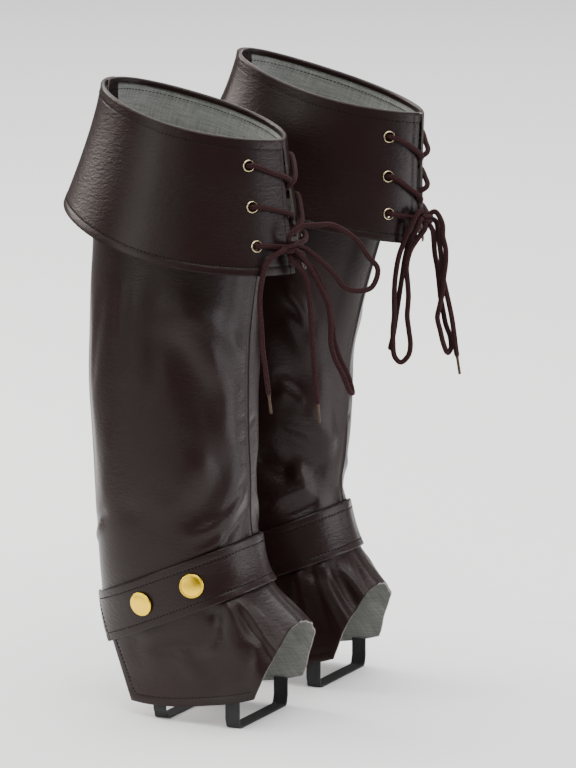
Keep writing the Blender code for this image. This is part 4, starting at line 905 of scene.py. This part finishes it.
grooveWidth = 0.8
edgeSteps = np.array([0, 0.25, 0.6, 1.1, 1.8, 2.8, 4.0, 5.2, 6.0, 6.5, 6.9, 7.3, 7.8, 8.4, 9.4])
boundSteps = np.append(edgeSteps, [12.0, 15.0, 15.5, 16.0])


# shares of the way along a row of a length, close together near both ends
def edgeShares(length, middle, steps=edgeSteps):
    reach = steps[-1] / length
    inner = reach + (1 - 2 * reach) * np.linspace(0, 1, middle + 2)[1:-1][None]
    start = steps[None] / length
    return np.concatenate([start, np.broadcast_to(inner, (len(length), middle)), 1 - start[:, ::-1]], 1)


# the lower edge of a shaft half as three lines of (turn, level): down the front hem from the seam, along the
# bottom, and up the back hem to the upright back edge
def lowerEdge(cover):
    last = cover["panel"][0, -1]
    ways = ((0.0, np.linspace(14, last, 160)), (np.linspace(0, 1, 240), last),
            (1.0, np.linspace(last, 11, 200)))
    return [np.stack(np.broadcast_arrays(*panelPlace(cover, share, rowAt))) for share, rowAt in ways]


def nearestGap(points, line):  # how far each point of a grid lies from the closest point of a line
    return np.sqrt(((points[..., None, :] - line) ** 2).sum(-1).min(-1))


hemSteps = np.array([0, 0.3, 0.7, 1.3, 2.1, 3.2, 4.4, 5.6, 6.6, 7.4, 8.2, 9.0, 9.8, 10.8, 12.0, 13.4, 15.0])
shaftLook = {"calmTop": 171.0, "lowRows": 46, "topRows": 116, "columns": 74, "hem": 6.6, "bound": 15.6}


def buildShaft(cover, hand, label):
    name = f"{cover['name']}_shaft_{label}"
    edges = lowerEdge(cover)
    # columns of one turn each, two of them through the flap's lower corners
    turn = edgeShares(np.array([[190.0]]), shaftLook["columns"], boundSteps)[0] * wall["lap"]
    for corner in (edges[1][0, 0], edges[1][0, -1]):
        turn[np.abs(turn - corner).argmin()] = corner
    bottom = np.interp(turn, *np.concatenate(edges, 1))
    # rows level down to a little above the strap, then drawn down to the lower edge and close along it
    top, calm = leg["z"][0], shaftLook["calmTop"]
    upper = np.linspace(top, calm, shaftLook["topRows"])[:, None] + 0 * turn
    share = np.linspace(0, 1, shaftLook["lowRows"] + 1)[1:, None]
    lower = calm + (bottom + hemSteps[-1] - calm) * share
    level = np.concatenate([upper, lower, bottom + hemSteps[-2::-1, None]])
    turn = np.broadcast_to(turn, level.shape)
    base = clothPoints(cover, hand, turn, level, 0.0)
    lines = [clothPoints(cover, hand, *edge, 0.0) for edge in edges]
    low = slice(shaftLook["topRows"] - 6, None)
    fromFront = runLength(base, 1)
    fromBack = fromFront[:, -1:] - fromFront
    fromBack[low] = np.minimum(fromBack[low], nearestGap(base[low], lines[2]))
    fromHem = np.full(turn.shape, 99.0)
    fromHem[low] = nearestGap(base[low], np.concatenate(lines[1:]))
    fromCut = np.full(turn.shape, 99.0)
    fromCut[low] = nearestGap(base[low], lines[0])
    welt = 0.9 * ridge(fromFront - 1.0, 0.8) - 0.5 * ridge(fromFront, 0.4)
    detail = welt + hemShape(fromHem, shaftLook["hem"]) - 0.35 * (1 - smoothStep(fromCut, 0.0, 0.9))
    # the top is pushed out until it lies in the fold of the cuff
    topTurn = turn[:1] * hand
    rim = cuffSurface(cover, topTurn, 0.01) - legSurface(cover, topTurn, top)
    room = (rim * surfaceNormals(legSurface, cover, topTurn, top - 1.0, 1.0)).sum(-1)
    push = np.maximum(room - wall["cuff"] - 0.35, 0) * (1 - smoothStep(top - level, 0.0, 30.0))
    bound = 0.7 * (1 - smoothStep(fromBack, shaftLook["bound"] - 0.4, shaftLook["bound"] + 0.2))
    outer = clothPoints(cover, hand, turn, level, push + detail)
    inner = clothPoints(cover, hand, turn, level, push + np.minimum(detail, 0.0) - wall["shaft"] - bound)
    shaft = gridShell(name + "Cloth", toWorld(outer, cover), toWorld(inner, cover), [hide, backing, rawEdge],
                      fromBack[:-1, 1:] < shaftLook["bound"])
    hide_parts(name)
    # one line of stitches along the bottom and up the back, and one inside the top
    sewn = np.array([np.interp(shaftLook["hem"], gap[::-1], z[::-1])
                     for gap, z in zip(fromHem[low].T, level[low].T)])
    seen = (turn[0] > edges[1][0, 0] - 1.0) & (turn[0] < 183.0)
    rows = []
    for turns, levels, depth, way in ((turn[0, seen], sewn[seen], -0.15, 1.0),
                                      (turn[0], level[3], -wall["shaft"], -1.0)):
        line = clothPoints(cover, hand, turns, levels, depth)
        rows.append(stitches(line, clothPoints(cover, hand, turns, levels, depth + way) - line, cover))
    sewing = threadPiece(name + "Thread", rows)


eyelet = {"hole": 3.35, "flange": 4.75, "cut": 3.65, "bar": 12.0}


# cuts the three lace holes with short round bars, which are then taken away
def openHoles(made, cover, hand):
    cutters = []
    for number in (1, 2, 3):
        place, normal = eyeletPlace(cover, hand, number)
        axis = normal * np.array([cover["side"], -1, 1])
        r, l = eyelet["cut"], eyelet["bar"] / 2
        profile = [(0, -l), (r, -l), (r, l), (0, l)]
        cutters.append(turned("holeBar", profile, toWorld(place, cover), axis, rawEdge, 24))
    for cutter in cutters:
        cut = made.modifiers.new("hole", "BOOLEAN")
        cut.operation = "DIFFERENCE"
        cut.object = cutter
        cut.solver = "EXACT"
    evaluated = made.evaluated_get(bpy.context.evaluated_depsgraph_get())
    opened = bpy.data.meshes.new_from_object(evaluated)
    made.modifiers.clear()
    made.data = opened
    for cutter in cutters:
        bpy.data.objects.remove(cutter)


def buildCuff(cover, hand, label):
    name = f"{cover['name']}_cuff_{label}"
    depthSteps = np.array([0.0, 0.6, 1.4, 2.6, 4.0, 5.6, 6.8, 7.4, 7.8, 8.2, 8.6, 9.2, 10.2])
    tall = cuff["tall"]
    middle = np.linspace(depthSteps[-1], tall - edgeSteps[-1], 42)[1:-1]
    distance = np.concatenate([depthSteps + cuff["roll"], middle, tall - edgeSteps[::-1]])
    depth = np.clip(distance / tall, 0, 1)
    rough, _ = cuffPoints(cover, hand, np.linspace(0, 1, 60)[None], depth[:, None], 0.0)
    share = edgeShares(runLength(rough, 1)[:, -1:], 84)
    place = np.broadcast_to(depth[:, None], share.shape)
    base, normal = cuffPoints(cover, hand, share, place, 0.0)
    across = runLength(base, 1)
    fromBack = across[:, -1:] - across
    down = runLength(base, 0)
    fromBottom = down[-1:] - down
    detail = hemShape(across, cuff["slitStitch"]) + hemShape(fromBottom, cuff["hemStitch"])
    detail += hemShape(fromBack, 6.0, 0.1, 0.0)
    detail -= 0.22 * ridge(down + cuff["roll"] - cuff["rimStitch"], grooveWidth)
    outer = base + normal * detail[..., None]
    # the roll over the rim: the lip that hangs inside, then half a circle from the inside to the outside
    rim, out = cuffPoints(cover, hand, share[0], np.zeros(share.shape[1]), 0.0)
    below, _ = cuffPoints(cover, hand, share[0], np.full(share.shape[1], 0.06), 0.0)
    fall = unit(below - rim)
    roll = cuff["roll"]
    middleOfRoll = rim - out * roll + fall * roll
    angle = np.radians(np.linspace(180, 12, 13))[:, None, None]
    lip = np.array([2.6, 1.3])[:, None, None]
    rolled = np.concatenate([middleOfRoll - out * roll + fall * lip,
                             middleOfRoll + out * roll * np.cos(angle) - fall * roll * np.sin(angle)])
    outer = np.concatenate([rolled, outer])
    rise, run = np.gradient(outer, axis=0), np.gradient(outer, axis=1)
    facing = unit(np.cross(run, rise))
    facing *= np.sign((facing[-20:] * normal[-20:]).sum())
    inner = outer - facing * wall["cuff"]
    made = gridShell(name + "Cloth", toWorld(outer, cover), toWorld(inner, cover), [hide, backing, rawEdge])
    openHoles(made, cover, hand)
    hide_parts(name)
    rows = []
    besideSlit = np.linspace(0.09, 0.93, 60)
    lines = [(np.linspace(0.01, 0.99, 160), np.full(160, cuff["rimStitch"] / tall)),
             (np.linspace(0.012, 0.988, 160), np.full(160, 1 - cuff["hemStitch"] / tall)),
             (np.interp(besideSlit, depth, cuff["slitStitch"] / across[:, -1]), besideSlit)]
    for shares, at in lines:
        line, normals = cuffPoints(cover, hand, shares, at, -0.12)
        rows.append(stitches(line, normals, cover))
    sewing = threadPiece(name + "Thread", rows)


for cover in (rightCover, leftCover):
    for hand, label in ((1, "outer"), (-1, "inner")):
        buildShaft(cover, hand, label)
        buildCuff(cover, hand, label)
print("shafts and cuffs made")


# the strap: the panel's points moved out, between lines parallel to its own middle line
def strapRowAt(cover, hand, share, across):
    low, high = np.full(share.shape, 6.0), np.full(share.shape, cover["panel"][0, -1])
    for _ in range(30):  # halved until the row lies on the line
        middle = (low + high) / 2
        turn, level = panelPlace(cover, share, middle)
        above = aboveStrap(cover, legSurface(cover, hand * turn, level)) > across
        low, high = np.where(above, middle, low), np.where(above, high, middle)
    return (low + high) / 2


def strapPoints(cover, hand, share, across, offset):
    share, across = np.broadcast_arrays(np.asarray(share, float), np.asarray(across, float))
    rowAt = strapRowAt(cover, hand, share, across)
    lift = offset + strap["off"] + strap["overWelt"] * (1 - smoothStep(share, 0.0, strap["weltShare"]))
    points = panelPoints(cover, hand, share, rowAt, lift)
    points[..., 0] = np.where(share == 0, 0.0, points[..., 0])
    return points


def buildStrap(cover):
    name = f"{cover['name']}_ankle_strap"
    half = strap["width"] / 2
    inner = np.linspace(half - edgeSteps[-1], -half + edgeSteps[-1], 9)[1:-1]
    cross = np.concatenate([half - edgeSteps, inner, -half + edgeSteps[::-1]])
    endSteps = edgeSteps / strap["half"]
    ends = tuple(zip((-1, 1), strap["ends"]))
    sides = {}
    for hand, end in ends:
        sides[hand] = np.concatenate([np.linspace(0, end - endSteps[-1], 84), end - endSteps[-2::-1]])
    grids = []
    for face in (1, 0):
        parts = []
        for hand in (-1, 1):
            share, across = np.meshgrid(sides[hand], cross)
            base = strapPoints(cover, hand, share, across, 0.0)
            run = runLength(base, 1)
            fromEnd = run[:, -1:] - run
            fromEdge = half - np.abs(across)
            shape = sum(hemShape(gap, strap["stitch"], 0.06, 0.18, 0.45) for gap in (fromEdge, fromEnd))
            offset = (strap["thick"] + shape) if face else -np.minimum(shape, 0) * 0.5
            part = strapPoints(cover, hand, share, across, offset)
            parts.append(part[:, :0:-1] if hand < 0 else part)
        grids.append(toWorld(np.concatenate(parts, 1), cover))
    made = gridShell(name + "Cloth", grids[0], grids[1], [hide, hide, hide])
    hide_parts(name)
    rows = []
    for hand, end in ends:
        shares = np.linspace(0.0, end - 0.04, 90)
        lines = [(shares, np.full(90, s * (half - strap["stitch"]))) for s in (1, -1)]
        sewnEnd = end - strap["stitch"] / strap["half"]
        lines.append((np.full(30, sewnEnd), np.linspace(-half + 7, half - 7, 30)))
        for share, across in lines:
            line = strapPoints(cover, hand, share, across, strap["thick"] - 0.1)
            out = strapPoints(cover, hand, share, across, strap["thick"] + 0.9) - line
            rows.append(stitches(line, out, cover))
    sewing = threadPiece(name + "Thread", rows)


snap = {"radius": 9.6}
for cover in (rightCover, leftCover):
    name = cover["name"]
    buildStrap(cover)
    r = snap["radius"]
    capProfile = [(0, 0.4), (r - 2.0, 0.4), (r - 0.5, 0.9), (r - 0.05, 1.4), (r, 1.9), (r - 0.25, 2.4),
                  (r - 0.7, 2.65), (r - 1.1, 2.62), (r - 1.4, 2.5), (r - 2.2, 2.75), (r - 4.0, 3.1),
                  (r - 6.5, 3.38), (0, 3.5)]
    for number, share in enumerate(strap["snaps"], 1):
        besides = share + np.array([-0.02, 0, 0.02, 0])
        above = strap["snapRise"] + np.array([0.0, 5, 0, -5])
        near = toWorld(strapPoints(cover, 1, besides, above, strap["thick"]), cover)
        centre = toWorld(strapPoints(cover, 1, share, strap["snapRise"], strap["thick"]), cover)
        axis = np.cross(near[2] - near[0], near[1] - near[3])
        axis = axis * np.sign(axis[0] * cover["side"])
        made = turned(f"{name}_snap_{number}Cap", capProfile, centre, axis, gold, 64)
        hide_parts(f"{name}_snap_{number}")
    h, f = eyelet["hole"], eyelet["flange"]
    ringProfile = [(h, -2.2), (h + 0.4, -2.5), (h + 0.9, -2.45), (h + 1.0, -2.1), (h + 0.2, -2.0),
                   (h + 0.2, 0.3), (f - 0.3, 0.3), (f, 0.5), (f - 0.15, 0.95), (f - 0.6, 1.25),
                   (h + 0.65, 1.25), (h + 0.25, 0.95), (h, 0.4)]
    for hand, label in ((1, "outer"), (-1, "inner")):
        for number in (1, 2, 3):
            place, normal = eyeletPlace(cover, hand, number)
            axis = normal * np.array([cover["side"], -1, 1])
            made = turned(f"{name}_eyelet_{label}_{number}Ring", ringProfile, toWorld(place, cover), axis,
                          brass, 40)
            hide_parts(f"{name}_eyelet_{label}_{number}")
print("straps, snaps and eyelets made")

# elastics under the foot
elasticBand = {  # rows: name, how far forward, how far out on each side
    "rows": (("heel", -3.5, 35.0), ("front", 61.5, 41.0)), "width": 12.0, "thick": 1.1, "ribs": 5,
    "ribRise": 0.10, "ease": 2.5, "bend": 4.0, "inset": 2.1, "clear": 0.05,
    "sewn": (22.0, 19.0, 15.0, 11.0, 8.0),
}
for cover in (rightCover, leftCover):
    for label, forward, wide in elasticBand["rows"]:
        name = f"{cover['name']}_elastic_{label}"
        share = np.linspace(0, 1, 25)
        across = (share - 0.5) * elasticBand["width"] + forward
        row = np.ones(len(share))
        side = []
        for z in elasticBand["sewn"]:  # down inside the flap
            places = across[[0, 12, 24]]
            reach = [legSurface(cover, turnAt(cover, f, z), z)[0] - elasticBand["inset"] for f in places]
            side.append(np.stack([np.interp(across, places, reach), z * row], -1))
        bend = elasticBand["bend"]
        edge = wide + elasticBand["ease"] - bend
        for angle in np.radians(np.linspace(0, 90, 9)):  # round its lower corner
            out, up = edge + bend * math.cos(angle), bend * (1 - math.sin(angle))
            side.append(np.stack([out * row, up * row], -1))
        under = np.linspace(edge, 0, 12)[1:-1, None] * row
        side = np.concatenate([side, np.stack([under, np.zeros(under.shape)], -1)])
        path = np.concatenate([side, side[::-1] * np.array([-1.0, 1.0])])
        heading = unit(np.gradient(path, axis=0))
        inward = np.stack([heading[..., 1], -heading[..., 0]], -1)
        ribs = elasticBand["ribRise"] * np.sin(share * 2 * math.pi * elasticBand["ribs"]) ** 2
        grids = []
        for depth in (elasticBand["clear"] + ribs, elasticBand["thick"] - ribs):
            moved = path + inward * depth[None, :, None]
            forwards = np.broadcast_to(across, moved.shape[:2])
            grids.append(toWorld(np.stack([moved[..., 0], forwards, moved[..., 1]], -1), cover))
        made = gridShell(name + "Band", grids[0], grids[1], [elastic] * 3)
        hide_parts(name)
print("elastics made")

# floor and light
studio = {"half": 14, "pale": 0.86, "dim": 0.16, "round": 0.72, "roundFade": 1.3,
          "middle": 0.05, "behind": 0.72, "behindFade": 2.5, "world": 0.12}
floorPoints = np.array([(-1, -1, 0), (1, -1, 0), (1, 1, 0), (-1, 1, 0)], float) * studio["half"]
floorMesh = bpy.data.meshes.new("floor")
floorMesh.from_pydata(floorPoints.tolist(), [], [(0, 1, 2, 3)])
floor = bpy.data.objects.new("floor", floorMesh)
bpy.context.scene.collection.objects.link(floor)
# painted light on the floor: a pale pool round the covers and in a band behind them, painted dimmer further
# out, where only their sheen would find it
paintedLightFloorLook, place, cut, drive = newMaterial("floorPaintedPool", Roughness=0.9)
besides, onwards, _ = place.turn(viewTurn).xyz()
away = (besides * besides + onwards * onwards).power(0.5)
paintedPoolNear = (away - studio["round"]) * -studio["roundFade"] + 0.5
band = ((besides - studio["middle"]).abs() - studio["behind"]) * -studio["behindFade"] + 0.5
band = band.between() * (onwards * 2.0 + 0.5).between()
# pale inside the painted pool of light, dim outside it
drive("Base Color", paintedPoolNear.between().most(band).mix((studio["dim"],) * 3, (studio["pale"],) * 3))
floorMesh.materials.append(paintedLightFloorLook)

world = bpy.data.worlds.new("studio")
world.use_nodes = True
world.node_tree.nodes["Background"].inputs[0].default_value = (1, 1, 1, 1)
world.node_tree.nodes["Background"].inputs[1].default_value = studio["world"]
bpy.context.scene.world = world

lamps = [  # name, right, towards the camera, up, width, height (m), power, colour
    ("softboxLeft", -2.1, 1.45, 1.0, 1.3, 2.0, 24, (0.96, 1.0, 0.93)),
    ("backLeft", -2.0, -1.1, 1.5, 1.6, 1.6, 60, (1.0, 0.92, 0.86)),
    ("backRight", 2.1, -1.5, 1.0, 1.4, 2.0, 7, (0.97, 0.96, 1.0)),
    ("sideRight", 2.3, 1.05, 0.9, 0.9, 1.7, 8, (0.95, 0.92, 1.0)),
    ("lowRight", 1.03, 0.24, 0.22, 0.8, 0.44, 5.0, (0.97, 0.96, 1.0)),
    ("frontLeft", -1.15, 2.05, 0.6, 1.1, 1.6, 7.0, (1.0, 1.0, 0.97)),
    ("highRight", 1.5, 1.6, 2.2, 1.0, 1.0, 12, (1.0, 1.0, 1.0)),
    ("highFront", 0.3, 1.9, 2.6, 1.3, 1.2, 34, (1.0, 1.0, 1.0)),
    ("top", 0.0, -1.6, 4.5, 8.0, 8.0, 720, (1.0, 1.0, 1.0)),
]
for name, right, near, up, wide, tall, power, colour in lamps:
    lampData = bpy.data.lights.new(name, "AREA")
    lampData.shape = "RECTANGLE"
    lampData.size, lampData.size_y = wide, tall
    lampData.energy = power
    lampData.color = colour
    lamp = bpy.data.objects.new(name, lampData)
    spot = viewRight * right + flatBack * near + Vector((0, 0, up))
    aim = (Vector((0, 0, 0.25)) - spot).to_track_quat("-Z", "Y")
    lamp.matrix_world = Matrix.Translation(spot) @ aim.to_matrix().to_4x4()
    bpy.context.scene.collection.objects.link(lamp)
print("studio ready")
